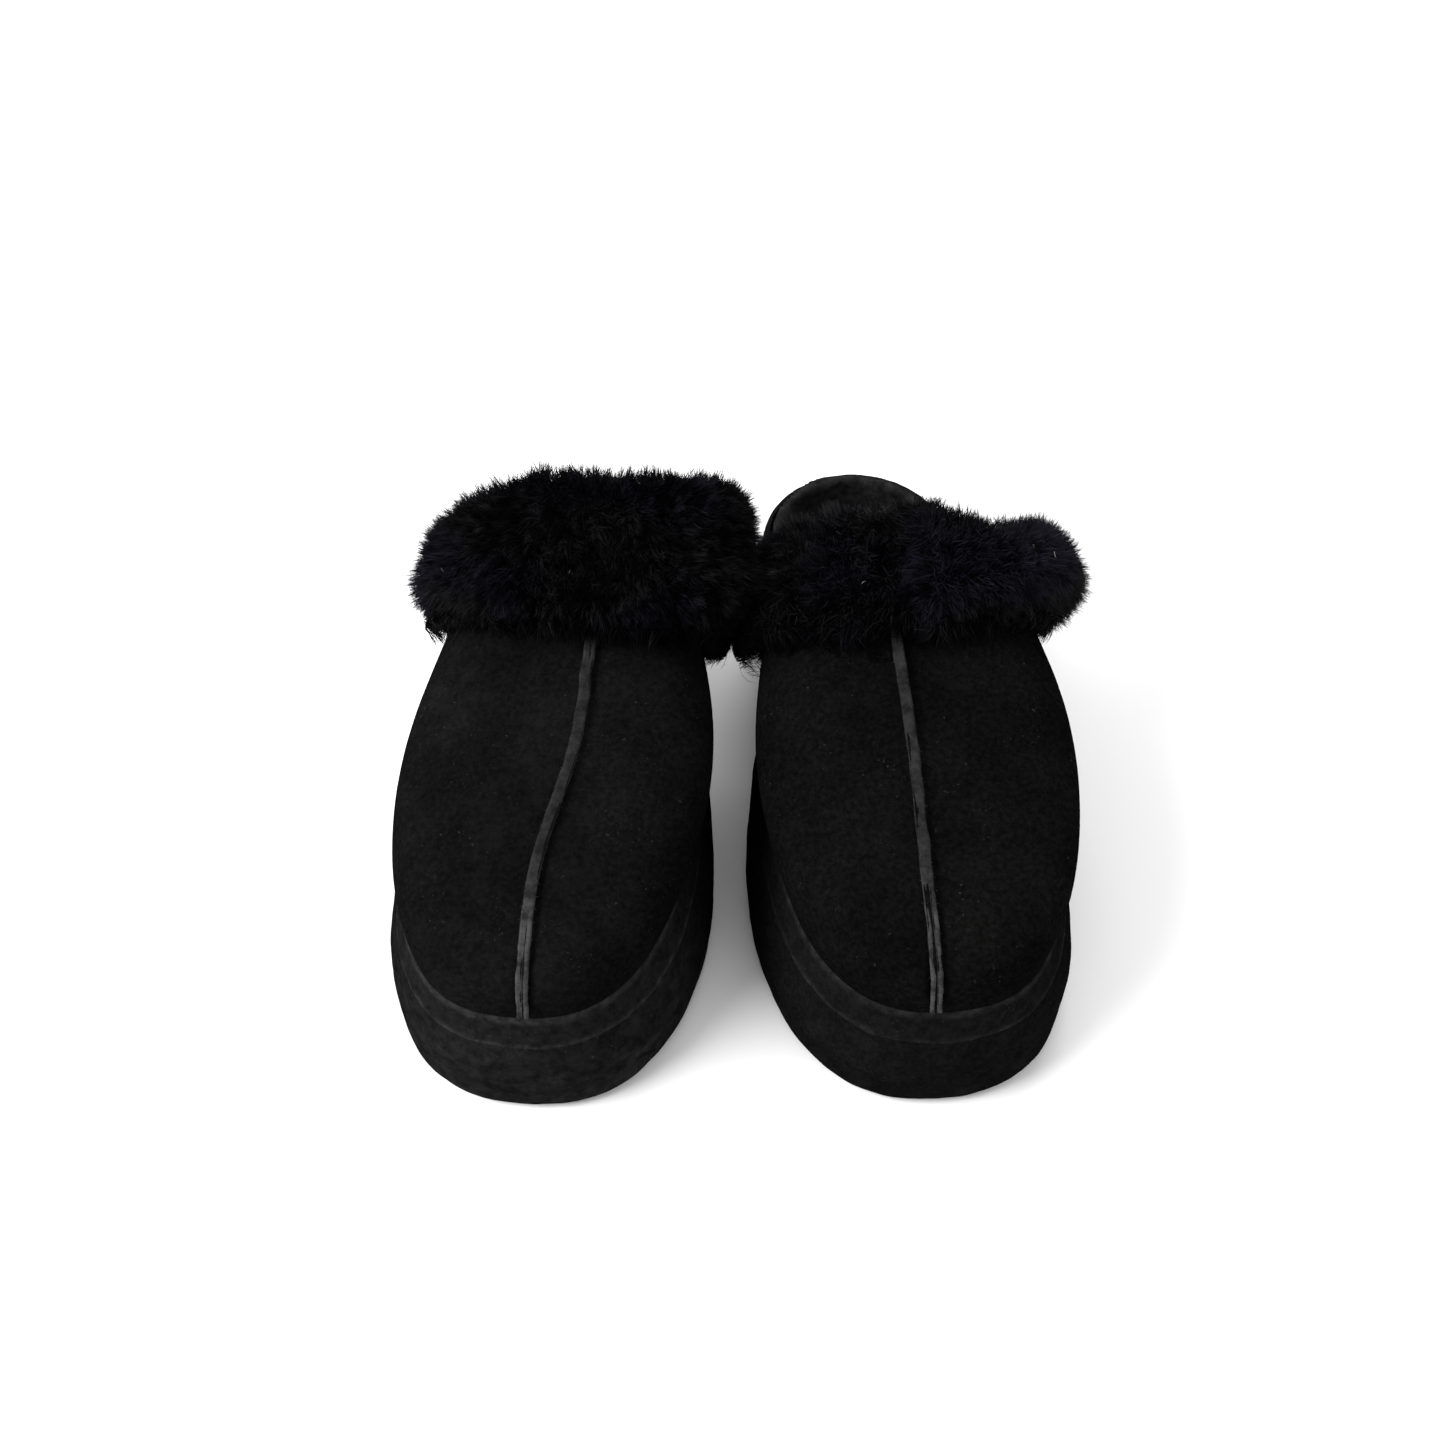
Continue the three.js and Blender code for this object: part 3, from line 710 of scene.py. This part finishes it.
def rand(side):
    """The suede band over the wall, which laps over its top and stands proud of the upper's foot."""
    node = f"{side}_rand_band"
    low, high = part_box(node)
    obj = soft_copy(node, f"{node}_suede", 3)
    points = coords(obj.data)
    share = (points[:, 2] - low[2]) / (high[2] - low[2])
    foot = 1 - smoothstep(share, 0.0, 0.3)
    lip = smoothstep(share, 0.75, 1.0)
    wave = rumpled(points, 9 * MM, 0.35 * MM, 2)
    out = normals(obj.data) * np.array([1, 1, 0])
    points += out * (foot * RAND_FLARE + lip * RAND_LIP + wave * 0.6)[:, None]
    points[:, 2] += lip * RAND_LIP_RISE - foot * (RAND_DROP + wave)
    set_coords(obj.data, points)
    # Painted shade: on top of its rubbed edges, the band is painted darker along the sides, where it lies
    # in shadow, and lighter at the toe; the per-slipper dust factor also paints the left band lighter, as
    # if lit from the left.
    toe = smoothstep(-points[:, 1], 20 * MM, 110 * MM)
    ragged = 0.7 + 0.6 * smoothstep(rumpled(points, 5 * MM, 1.0, 17), -0.2, 0.3)
    edges = np.maximum(lip * 0.75, (1 - smoothstep(share, 0.0, 0.22)) * 0.7) * ragged
    wear_and_painted_light = (edges + 0.26) * (0.25 + 0.75 * toe) * (0.45 + 0.45 * DUST_AND_SIDE_LIGHT[side])
    set_attribute(obj.data, "wear_and_painted_light", np.clip(wear_and_painted_light, 0, 1))
    finish_piece(obj, side, band_suede(), node, slot="suede_worn")


def heel(side):
    """The low padded band round the heel and the smooth padded lining inside it."""
    node = f"{side}_heel_band"
    obj = soft_copy(node, f"{node}_suede", 3)
    points = coords(obj.data)
    low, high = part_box(node)
    share = (points[:, 2] - low[2]) / (high[2] - low[2])
    points += normals(obj.data) * rumpled(points, 20 * MM, HEEL_WAVE, 4)[:, None]
    spread(points, HEEL_FLARE * smoothstep(share, 0.4, 1))
    points[:, 0] -= OUTWARD[side] * HEEL_LEAN * share
    points[:, 2] -= HEEL_EDGE_DROP * smoothstep(share, 0.8, 1)
    set_coords(obj.data, points)
    set_attribute(obj.data, "wear_and_painted_light", smoothstep(share, 0.75, 1.0) * 0.3)
    finish_piece(obj, side, band_suede(), node, slot="suede")
    heel_pad(side)


def inflated(obj, voxel, pressure, cap):
    """Puffs a closed piece with a short cloth simulation. No point moves further than cap."""
    remesh = obj.modifiers.new("Voxels", "REMESH")
    remesh.mode = "VOXEL"
    remesh.voxel_size = voxel
    obj.data = evaluated(obj)
    obj.modifiers.clear()
    rest = coords(obj.data)
    cloth = obj.modifiers.new("Cloth", "CLOTH")
    cloth.settings.use_pressure = True
    cloth.settings.uniform_pressure_force = pressure
    cloth.settings.effector_weights.gravity = 0
    cloth.settings.tension_stiffness = 30
    cloth.settings.compression_stiffness = 8
    cloth.point_cache.frame_start = 1
    cloth.point_cache.frame_end = PAD_FRAMES
    scene = bpy.context.scene
    for step in range(1, PAD_FRAMES + 1):
        scene.frame_set(step)
    moved = coords(evaluated(obj)) - rest
    obj.modifiers.clear()
    scene.frame_set(1)
    size = np.linalg.norm(moved, axis=1)[:, None] + 1e-12
    set_coords(obj.data, rest + moved * np.minimum(1, cap / size))


def radial(points):
    """Directions in plan away from the middle of a round shape."""
    core = (points[:, :2].min(axis=0) + points[:, :2].max(axis=0)) / 2
    return unit(points[:, :2] - core)


def spread(points, amount):
    """Moves points away from the middle of their own round shape, in plan."""
    points[:, :2] += radial(points) * amount[:, None]


def heel_pad(side):
    """The padded lining inside the heel band, puffed by simulation and softly folded."""
    node = f"{side}_heel_lining"
    obj = soft_copy(node, f"{node}_pad", 2)
    inflated(obj, PAD_VOXEL, PAD_PRESSURE, PAD_CAP)
    shade_smooth(obj.data)
    points = coords(obj.data)
    low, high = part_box(node)
    share = (points[:, 2] - low[2]) / (high[2] - low[2])
    folds = rumpled(points * [1, 1, 0.45], 12 * MM, PAD_FOLDS, 14)
    full = smoothstep(share, 0.15, 0.7)
    facing = normals(obj.data)
    away = np.clip(np.sum(facing[:, :2] * radial(points), axis=1), 0, 1)
    points += facing * (full * (PAD_SWELL + folds) * (1 - away))[:, None]
    spread(points, -PAD_TUCK * away)
    points[:, 0] -= OUTWARD[side] * HEEL_LEAN * share
    points[:, 2] += PAD_RISE * smoothstep(share, 0.55, 1)
    set_coords(obj.data, points)
    # Painted light: the pad is painted lighter higher up, partly as its paler rubbed lining and partly as
    # painted light from above, and lighter on its fold crests and darker in the fold hollows, as painted
    # light and shade.
    set_attribute(obj.data, "wear_and_painted_light", np.clip(full * (0.76 + folds / (6 * MM)), 0, 1))
    finish_piece(obj, side, band_suede(), node, slot="suede")


def outline_of(node, count):
    """The plan outline of a flat CAD node as evenly spaced, smoothed points."""
    points = coords(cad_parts[node].data)
    points = points[points[:, 2] > points[:, 2].max() - 0.1 * MM][:, :2]
    core = points.mean(axis=0)
    points = points[np.argsort(np.arctan2(*(points - core).T))]
    points = points[np.linalg.norm(np.diff(points, axis=0, append=points[:1]), axis=1) > 0.3 * MM]
    closed = np.concatenate([points, points[:1]])
    run = np.concatenate([[0], np.cumsum(np.linalg.norm(np.diff(closed, axis=0), axis=1))])
    even = np.linspace(0, run[-1], count, endpoint=False)
    line = np.stack([np.interp(even, run, closed[:, k]) for k in range(2)], axis=1)
    for _ in range(6):
        line = (np.roll(line, 1, axis=0) + 2 * line + np.roll(line, -1, axis=0)) / 4
    return line


def outsole(side):
    """A rubber plate with rounded edges and tread bars underneath."""
    node = f"{side}_outsole"
    low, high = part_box(node)
    line = outline_of(node, OUTLINE_POINTS)
    core = line.mean(axis=0)
    solid = bmesh.new()
    plate, bevel = TREAD_DEPTH - 0.1 * MM, 0.6 * MM
    insets = {plate: 0.5 * MM, plate + bevel: -0.6 * MM, high[2] - bevel: -0.8 * MM, high[2]: -0.4 * MM}
    rings = []
    for z, inset in insets.items():
        shrink = 1 - inset / np.linalg.norm(line - core, axis=1)[:, None]
        rings.append([solid.verts.new((x, y, z)) for x, y in core + (line - core) * shrink])
    for a, b in zip(rings, rings[1:]):
        for i in range(len(a)):
            j = (i + 1) % len(a)
            solid.faces.new((a[i], a[j], b[j], b[i]))
    solid.faces.new(rings[0][::-1])
    solid.faces.new(rings[-1])
    tread_bars(solid, core + (line - core) * 0.995)
    bmesh.ops.recalc_face_normals(solid, faces=solid.faces)
    mesh = bpy.data.meshes.new(f"{node}_rubber")
    solid.to_mesh(mesh)
    solid.free()
    finish_piece(new_object(f"{node}_rubber", mesh), side, rubber_material(), node, slot="rubber_sole")


def tread_bars(solid, line):
    """Cross bars between grooves, cut out of the outline and stood under the plate."""
    core = line.mean(axis=0)
    axis = np.linalg.svd(line - core)[2][0]
    along = (line - core) @ axis
    face = bmesh.new()
    face.faces.new([face.verts.new((x, y, 0)) for x, y in line])
    cuts = np.arange(along.min() + TREAD_PITCH, along.max() - TREAD_PITCH * 0.5, TREAD_PITCH)
    for cut in cuts:
        for edge in (cut - TREAD_GROOVE / 2, cut + TREAD_GROOVE / 2):
            place = Vector((*(core + axis * edge), 0))
            geometry = face.verts[:] + face.edges[:] + face.faces[:]
            bmesh.ops.bisect_plane(face, geom=geometry, plane_co=place, plane_no=(*axis, 0))
    spots = [(f, (np.array(f.calc_center_median()[:2]) - core) @ axis) for f in face.faces]
    grooves = [f for f, spot in spots if np.abs(cuts - spot).min() < TREAD_GROOVE / 2]
    bmesh.ops.delete(face, geom=grooves, context="FACES")
    for bar in face.faces:
        base = [solid.verts.new(v.co) for v in bar.verts]
        top = [solid.verts.new(v.co + Vector((0, 0, TREAD_DEPTH))) for v in bar.verts]
        solid.faces.new(base)
        solid.faces.new(top[::-1])
        for i in range(len(base)):
            j = (i + 1) % len(base)
            solid.faces.new((base[i], base[j], top[j], top[i]))
    face.free()


def scatter(mesh, count, rng, keep):
    """Random points on the faces that keep() accepts: places, normals."""
    mesh.calc_loop_triangles()
    points = coords(mesh)
    tris = np.empty(len(mesh.loop_triangles) * 3, dtype=int)
    mesh.loop_triangles.foreach_get("vertices", tris)
    tris = tris.reshape(-1, 3)
    a, b, c = (points[tris[:, i]] for i in range(3))
    cross = np.cross(b - a, c - a)
    area = np.linalg.norm(cross, axis=1) / 2
    area = area * keep((a + b + c) / 3, cross / (2 * area[:, None] + 1e-12))
    chosen = rng.choice(len(tris), count, p=area / area.sum())
    u, v = rng.random((2, count))
    flip = u + v > 1
    u[flip], v[flip] = 1 - u[flip], 1 - v[flip]
    place = a[chosen] + (b - a)[chosen] * u[:, None] + (c - a)[chosen] * v[:, None]
    vertex_normals = normals(mesh)
    w = 1 - u - v
    n = sum(vertex_normals[tris[chosen, i]] * k[:, None] for i, k in enumerate((w, u, v)))
    return place, unit(n)


def unit(vectors):
    """The vectors at a length of one."""
    return vectors / (np.linalg.norm(vectors, axis=1)[:, None] + 1e-12)


def field(points, size, seed):
    """A smooth field of directions. Unseeded, this noise would follow the clock."""
    noise.seed_set(SEED)
    offset = Vector((seed, seed * 2, seed * 3))
    return np.array([noise.noise_vector(Vector(p) / size + offset) for p in points])


def strands(name, roots, tips, width, bend, tuft, rng, steps=3):
    """Tapering ribbons from roots to tips, bowed sideways by bend."""
    count = len(roots)
    spine = tips - roots
    side = unit(np.cross(spine, rng.normal(size=(count, 3))))
    bow = unit(np.cross(spine, side)) * bend[:, None]
    rows = []
    along = []
    for i in range(steps):
        t = i / steps
        centre = roots + spine * t + bow * (math.sin(math.pi * t) + t * t * 0.6)
        half = side * (width * (1 - 0.55 * t) / 2)[:, None]
        rows += [centre - half, centre + half]
        along += [np.full(count, t), np.full(count, t)]
    rows.append(tips + bow * 0.6)
    along.append(np.ones(count))
    per = len(rows)
    points = np.stack(rows, axis=1).reshape(-1, 3)
    start = np.arange(count) * per
    faces = []
    for i in range(steps - 1):
        k = 2 * i
        faces.append(np.stack([start + k, start + k + 1, start + k + 3, start + k + 2], axis=1))
    last = np.stack([start + per - 3, start + per - 2, start + per - 1], axis=1)
    mesh = bpy.data.meshes.new(name)
    fill_mesh(mesh, points, np.concatenate(faces), last)
    set_attribute(mesh, "along", np.stack(along, axis=1).reshape(-1))
    set_attribute(mesh, "tuft", np.repeat(tuft, per))
    shade_smooth(mesh)
    return mesh


def fill_mesh(mesh, points, quads, tris):
    """Fast mesh filling from arrays of quads and triangles."""
    loops = np.concatenate([quads.reshape(-1), tris.reshape(-1)])
    sizes = np.concatenate([np.full(len(quads), 4), np.full(len(tris), 3)])
    starts = np.concatenate([[0], np.cumsum(sizes)[:-1]])
    mesh.vertices.add(len(points))
    mesh.vertices.foreach_set("co", points.reshape(-1))
    mesh.loops.add(len(loops))
    mesh.loops.foreach_set("vertex_index", loops)
    mesh.polygons.add(len(sizes))
    mesh.polygons.foreach_set("loop_start", starts)
    mesh.update(calc_edges=True)


def tufted(roots, outward, reach, tufts, pull, rng):
    """Tips of hairs that lean together into tufts, and one number per hair for its tuft."""
    heads = rng.choice(len(roots), tufts, replace=False)
    tree = KDTree(tufts)
    for i, k in enumerate(heads):
        tree.insert(Vector(roots[k]), i)
    tree.balance()
    owner = np.array([tree.find(Vector(p))[1] for p in roots])
    lean = unit(outward[heads] + rng.normal(scale=TUFT_STRAY, size=(tufts, 3)))
    tall = 1 + rng.normal(scale=TUFT_HEIGHT_STRAY, size=tufts)
    summit = roots[heads] + lean * (reach * tall)[:, None]
    straying = unit(outward + rng.normal(scale=HAIR_STRAY, size=roots.shape))
    own = roots + straying * (reach * tall[owner])[:, None]
    share = pull * rng.uniform(0.55, 1.0, len(roots))
    tips = own + (summit[owner] - own) * share[:, None]
    return tips, rng.random(tufts)[owner]


def trim_near(mesh, tree, reach):
    """Cuts away the faces that lie close to another surface."""
    cut = bmesh.new()
    cut.from_mesh(mesh)
    near = [f for f in cut.faces if tree.find_nearest(f.calc_center_median())[3] < reach]
    bmesh.ops.delete(cut, geom=near, context="FACES")
    cut.to_mesh(mesh)
    cut.free()


def plumped(shape, side):
    """Fills out the collar's rear edge and its rear corner on the pair's outward side."""
    plump = PLUMP[side]
    points = coords(shape)
    low, high = points.min(axis=0), points.max(axis=0)
    share = (points[:, 0] - low[0]) / (high[0] - low[0])
    share = share if OUTWARD[side] > 0 else 1 - share
    off_middle = np.abs(share - 0.5)
    outer = smoothstep(share, 0.62, 0.95)
    inner = 1 - smoothstep(off_middle, 0.2, 0.45)
    crown = 1 - smoothstep(off_middle, *plump["crown"])
    near_end = 1 - smoothstep(share, 0.04, 0.28)
    rear = smoothstep(points[:, 1], low[1] + 15 * MM, high[1] - 10 * MM)
    points[:, 0] += OUTWARD[side] * (plump["corner"] * MM * outer * rear - END_TUCK * near_end)
    points[:, 1] += plump["back"] * MM * rear * np.maximum(outer * 0.5, inner)
    points[:, 2] += rumpled(points, 17 * MM, 1.6 * MM, 30) + plump["up"] * MM * rear * crown
    points[:, 2] -= plump["drop"] * MM * rear * near_end
    set_coords(shape, points)


def collar(side):
    """The fur collar: three coats of hair on a hide that lies deep inside them."""
    f = bpy.context.scene.slipper_fur
    node = f"{side}_fur_collar"
    rng = np.random.default_rng(SEED + SIDES.index(side))
    shape = soft_copy(node, f"{node}_hide", 2)
    hidden = [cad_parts[f"{side}_{p}"].data for p in ("vamp_medial", "vamp_lateral", "vamp_lining")]
    tree = tree_of(*hidden)
    plumped(shape.data, side)

    def open_side(centres, _):
        return (distances(tree, centres) > SEAT_GAP).astype(float)

    for coat, rise in COATS.items():
        places, outward = scatter(shape.data, f.hairs, rng, open_side)
        swirl = field(places, 26 * MM, 5 + SIDES.index(side)) + field(places, 8 * MM, 8) * CURL[side]
        grow = unit(outward + swirl * 0.55 + np.array([0, -0.3, -0.12]))
        roots = places - outward * f.depth * 0.8
        tips, tuft = tufted(roots, grow, f.depth * rise, f.tufts, 0.8, rng)
        width = f.width * rng.uniform(0.6, 1.1, len(roots))
        bend = rng.normal(scale=CURL[side] * MM, size=len(roots))
        # Painted shade: the hairs are painted darker where the collar lies near the vamp, fading out 13 mm
        # away from it.
        clear_of_painted_shade = smoothstep(distances(tree, places), 1.5 * MM, 13 * MM)
        # The hair ends are lighter towards each collar's outer end, and lighter overall on the right
        # collar.
        ends = smoothstep(OUTWARD[side] * places[:, 0], 85 * MM, 130 * MM)
        paler = tuft ** 1.7 * 1.35 - 0.12 + ends * 0.8
        bright = paler * clear_of_painted_shade * HAIR_END_LIGHTNESS[side] - (1 - clear_of_painted_shade) * 0.45
        mesh = strands(f"{node}_{coat}", roots, tips, width, bend, bright, rng)
        fur = new_object(f"{node}_{coat}", mesh)
        finish_piece(fur, side, fur_material(), node, slot="fur")
    lint(side, shape.data, rng)
    trim_near(shape.data, tree, TRIM_REACH)
    points = coords(shape.data)
    points -= normals(shape.data) * (f.depth * 0.6)
    set_coords(shape.data, points)
    set_attribute(shape.data, "along", np.zeros(len(points)))
    set_attribute(shape.data, "tuft", np.zeros(len(points)))
    finish_piece(shape, side, fur_material(), slot="fur")


def lint(side, shape, rng):
    """A few pale fibres caught in the fur."""
    count = LINT_FIBRES

    def upward(_, faces_out):
        return (faces_out[:, 2] > 0.3).astype(float)

    places, outward = scatter(shape, count, rng, upward)
    roots = places + outward * 0.8 * MM
    tips = roots + unit(rng.normal(size=(count, 3)) * [1, 1, 0.3]) * rng.uniform(1.2, 2.8, (count, 1)) * MM
    width = np.full(count, 0.32 * MM)
    bend = np.full(count, 0.5 * MM)
    mesh = strands(f"{side}_lint", roots, tips, width, bend, np.ones(count), rng)
    skin = speckled("Lint", LINT_COLOUR)
    finish_piece(new_object(f"{side}_lint", mesh), side, skin, slot="fur")


def pile(side, piece, count, tall, up=1):
    """Short curly fleece over a footbed or lining, on its upper or its under face."""
    node = f"{side}_{piece}"
    f = bpy.context.scene.slipper_fur
    rng = np.random.default_rng(SEED + 11)
    base = soft_copy(node, f"{node}_backing", 1)

    def facing(centres, faces_out):
        return (faces_out[:, 2] * up > 0.25).astype(float)

    roots, outward = scatter(base.data, count, rng, facing)
    swirl = field(roots, 9 * MM, 2)
    grow = unit(outward + swirl * 0.9)
    tips, tuft = tufted(roots, grow, tall, max(60, count // 12), 0.85, rng)
    bend = rng.normal(scale=0.9 * MM, size=count)
    mesh = strands(f"{node}_pile", roots, tips, np.full(count, f.width), bend, tuft, rng)
    obj = new_object(f"{node}_pile", mesh)
    finish_piece(obj, side, fleece_material(), slot="fleece")
    set_attribute(base.data, "along", np.full(len(base.data.vertices), 0.2))
    set_attribute(base.data, "tuft", np.full(len(base.data.vertices), 0.2))
    finish_piece(base, side, fleece_material(), node, slot="fleece")


# ---- stage ----
def floor_material():
    s = bpy.context.scene.slipper_stage

    def fill(make):
        place = make.node("ShaderNodeTexCoord").outputs["Object"]
        cloud = make.noise(3.0, detail=2.0, roughness=0.5, vector=place)
        dim = tuple(v * FLOOR_MOTTLE for v in s.floor)
        return {"Colour": make.mix(cloud, rgba(dim), rgba(s.floor))}

    return material("Pale floor", fill, roughness=0.85)


def add_light(name, place, size, power, target):
    data = bpy.data.lights.new(name, "AREA")
    data.shape = "DISK"
    data.size = size
    data.energy = power
    obj = new_object(name, data)
    obj.location = place
    obj.rotation_euler = (Vector(target) - Vector(place)).to_track_quat("-Z", "Y").to_euler()


def stage():
    """Floor, lights, sky and camera."""
    s = bpy.context.scene.slipper_stage
    reach = 6.0  # half the floor's side, metres
    corners = [(-reach, -reach, 0), (reach, -reach, 0), (reach, reach, 0), (-reach, reach, 0)]
    floor = new_object("floor", mesh_from("floor", corners, [(0, 1, 2, 3)]))
    floor.data.materials.append(floor_material())
    for name, (place, size, share) in LIGHTS.items():
        add_light(name, place, size, s.power * share, LIGHT_TARGET)
    world = bpy.data.worlds.new("Soft sky")
    world.use_nodes = True
    sky = world.node_tree.nodes["Background"]
    sky.inputs["Color"].default_value = (1, 1, 1, 1)
    sky.inputs["Strength"].default_value = SKY_STRENGTH
    bpy.context.scene.world = world
    bpy.context.scene.view_settings.view_transform = "Standard"
    camera = new_object("camera", bpy.data.cameras.new("camera"))
    camera.data.lens = CAMERA_LENS
    back = Vector((0, -math.cos(CAMERA_ELEVATION), math.sin(CAMERA_ELEVATION)))
    camera.location = CAMERA_TARGET + back * CAMERA_DISTANCE
    camera.rotation_euler = (-back).to_track_quat("-Z", "Y").to_euler()
    bpy.context.scene.camera = camera


# ---- operators ----
class SLIPPER_OT_vamps(bpy.types.Operator):
    """Make the suede vamp panels with their raised centre seams"""

    bl_idname = "slipper.vamps"
    bl_label = "Vamps"

    def execute(self, context):
        for side in SIDES:
            for half in ("medial", "lateral"):
                vamp(side, half)
            seam(side)
        return {"FINISHED"}


class SLIPPER_OT_platforms(bpy.types.Operator):
    """Make the suede wall and the band over it"""

    bl_idname = "slipper.platforms"
    bl_label = "Platforms"

    def execute(self, context):
        for side in SIDES:
            wall(side)
            rand(side)
        return {"FINISHED"}


class SLIPPER_OT_heels(bpy.types.Operator):
    """Make the padded heel bands"""

    bl_idname = "slipper.heels"
    bl_label = "Heel bands"

    def execute(self, context):
        for side in SIDES:
            heel(side)
        return {"FINISHED"}


class SLIPPER_OT_collars(bpy.types.Operator):
    """Grow the fur collars"""

    bl_idname = "slipper.collars"
    bl_label = "Fur collars"

    def execute(self, context):
        for side in SIDES:
            collar(side)
        return {"FINISHED"}


class SLIPPER_OT_fleece(bpy.types.Operator):
    """Grow the fleece on the footbeds and linings"""

    bl_idname = "slipper.fleece"
    bl_label = "Fleece"

    def execute(self, context):
        for side in SIDES:
            pile(side, "footbed_fleece", count=26000, tall=5.5 * MM)
            pile(side, "vamp_lining", count=1500, tall=3.0 * MM, up=-1)
        return {"FINISHED"}


class SLIPPER_OT_soles(bpy.types.Operator):
    """Finish the outsoles and the hidden inner pieces"""

    bl_idname = "slipper.soles"
    bl_label = "Soles"

    def execute(self, context):
        finishes = {
            "midsole": speckled("Foam", FOAM_COLOUR),
            "footbed_foam": speckled("Foam", FOAM_COLOUR),
            "insole_board": speckled("Board", BOARD_COLOUR),
        }
        for side in SIDES:
            outsole(side)
            for piece, skin in finishes.items():
                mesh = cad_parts[f"{side}_{piece}"].data
                mesh.materials.clear()
                mesh.materials.append(skin)
        return {"FINISHED"}


class SLIPPER_OT_stage(bpy.types.Operator):
    """Make the floor, lights and camera"""

    bl_idname = "slipper.stage"
    bl_label = "Stage"

    def execute(self, context):
        stage()
        return {"FINISHED"}


OPERATORS = (
    SLIPPER_OT_soles,
    SLIPPER_OT_platforms,
    SLIPPER_OT_vamps,
    SLIPPER_OT_heels,
    SLIPPER_OT_fleece,
    SLIPPER_OT_collars,
    SLIPPER_OT_stage,
)


class SLIPPER_PT_panel(bpy.types.Panel):
    """Lists the build steps and their settings"""

    bl_label = "Slippers"
    bl_idname = "SLIPPER_PT_panel"
    bl_space_type = "VIEW_3D"
    bl_region_type = "UI"
    bl_category = "Slippers"

    def draw(self, context):
        for group in GROUPS:
            settings = getattr(context.scene, group)
            for name in settings.__annotations__:
                self.layout.prop(settings, name)
        for operator in OPERATORS:
            self.layout.operator(operator.bl_idname)


GROUPS = {"slipper_suede": SuedeSettings, "slipper_fur": FurSettings, "slipper_stage": StageSettings}


def register():
    for item in (*GROUPS.values(), *OPERATORS, SLIPPER_PT_panel):
        bpy.utils.register_class(item)
    for name, group in GROUPS.items():
        setattr(bpy.types.Scene, name, bpy.props.PointerProperty(type=group))


def unregister():
    for name in GROUPS:
        delattr(bpy.types.Scene, name)
    for item in reversed((*GROUPS.values(), *OPERATORS, SLIPPER_PT_panel)):
        bpy.utils.unregister_class(item)


def main():
    register()
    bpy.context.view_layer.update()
    for operator in OPERATORS:
        group, name = operator.bl_idname.split(".")
        getattr(getattr(bpy.ops, group), name)()


if __name__ == "__main__":
    main()
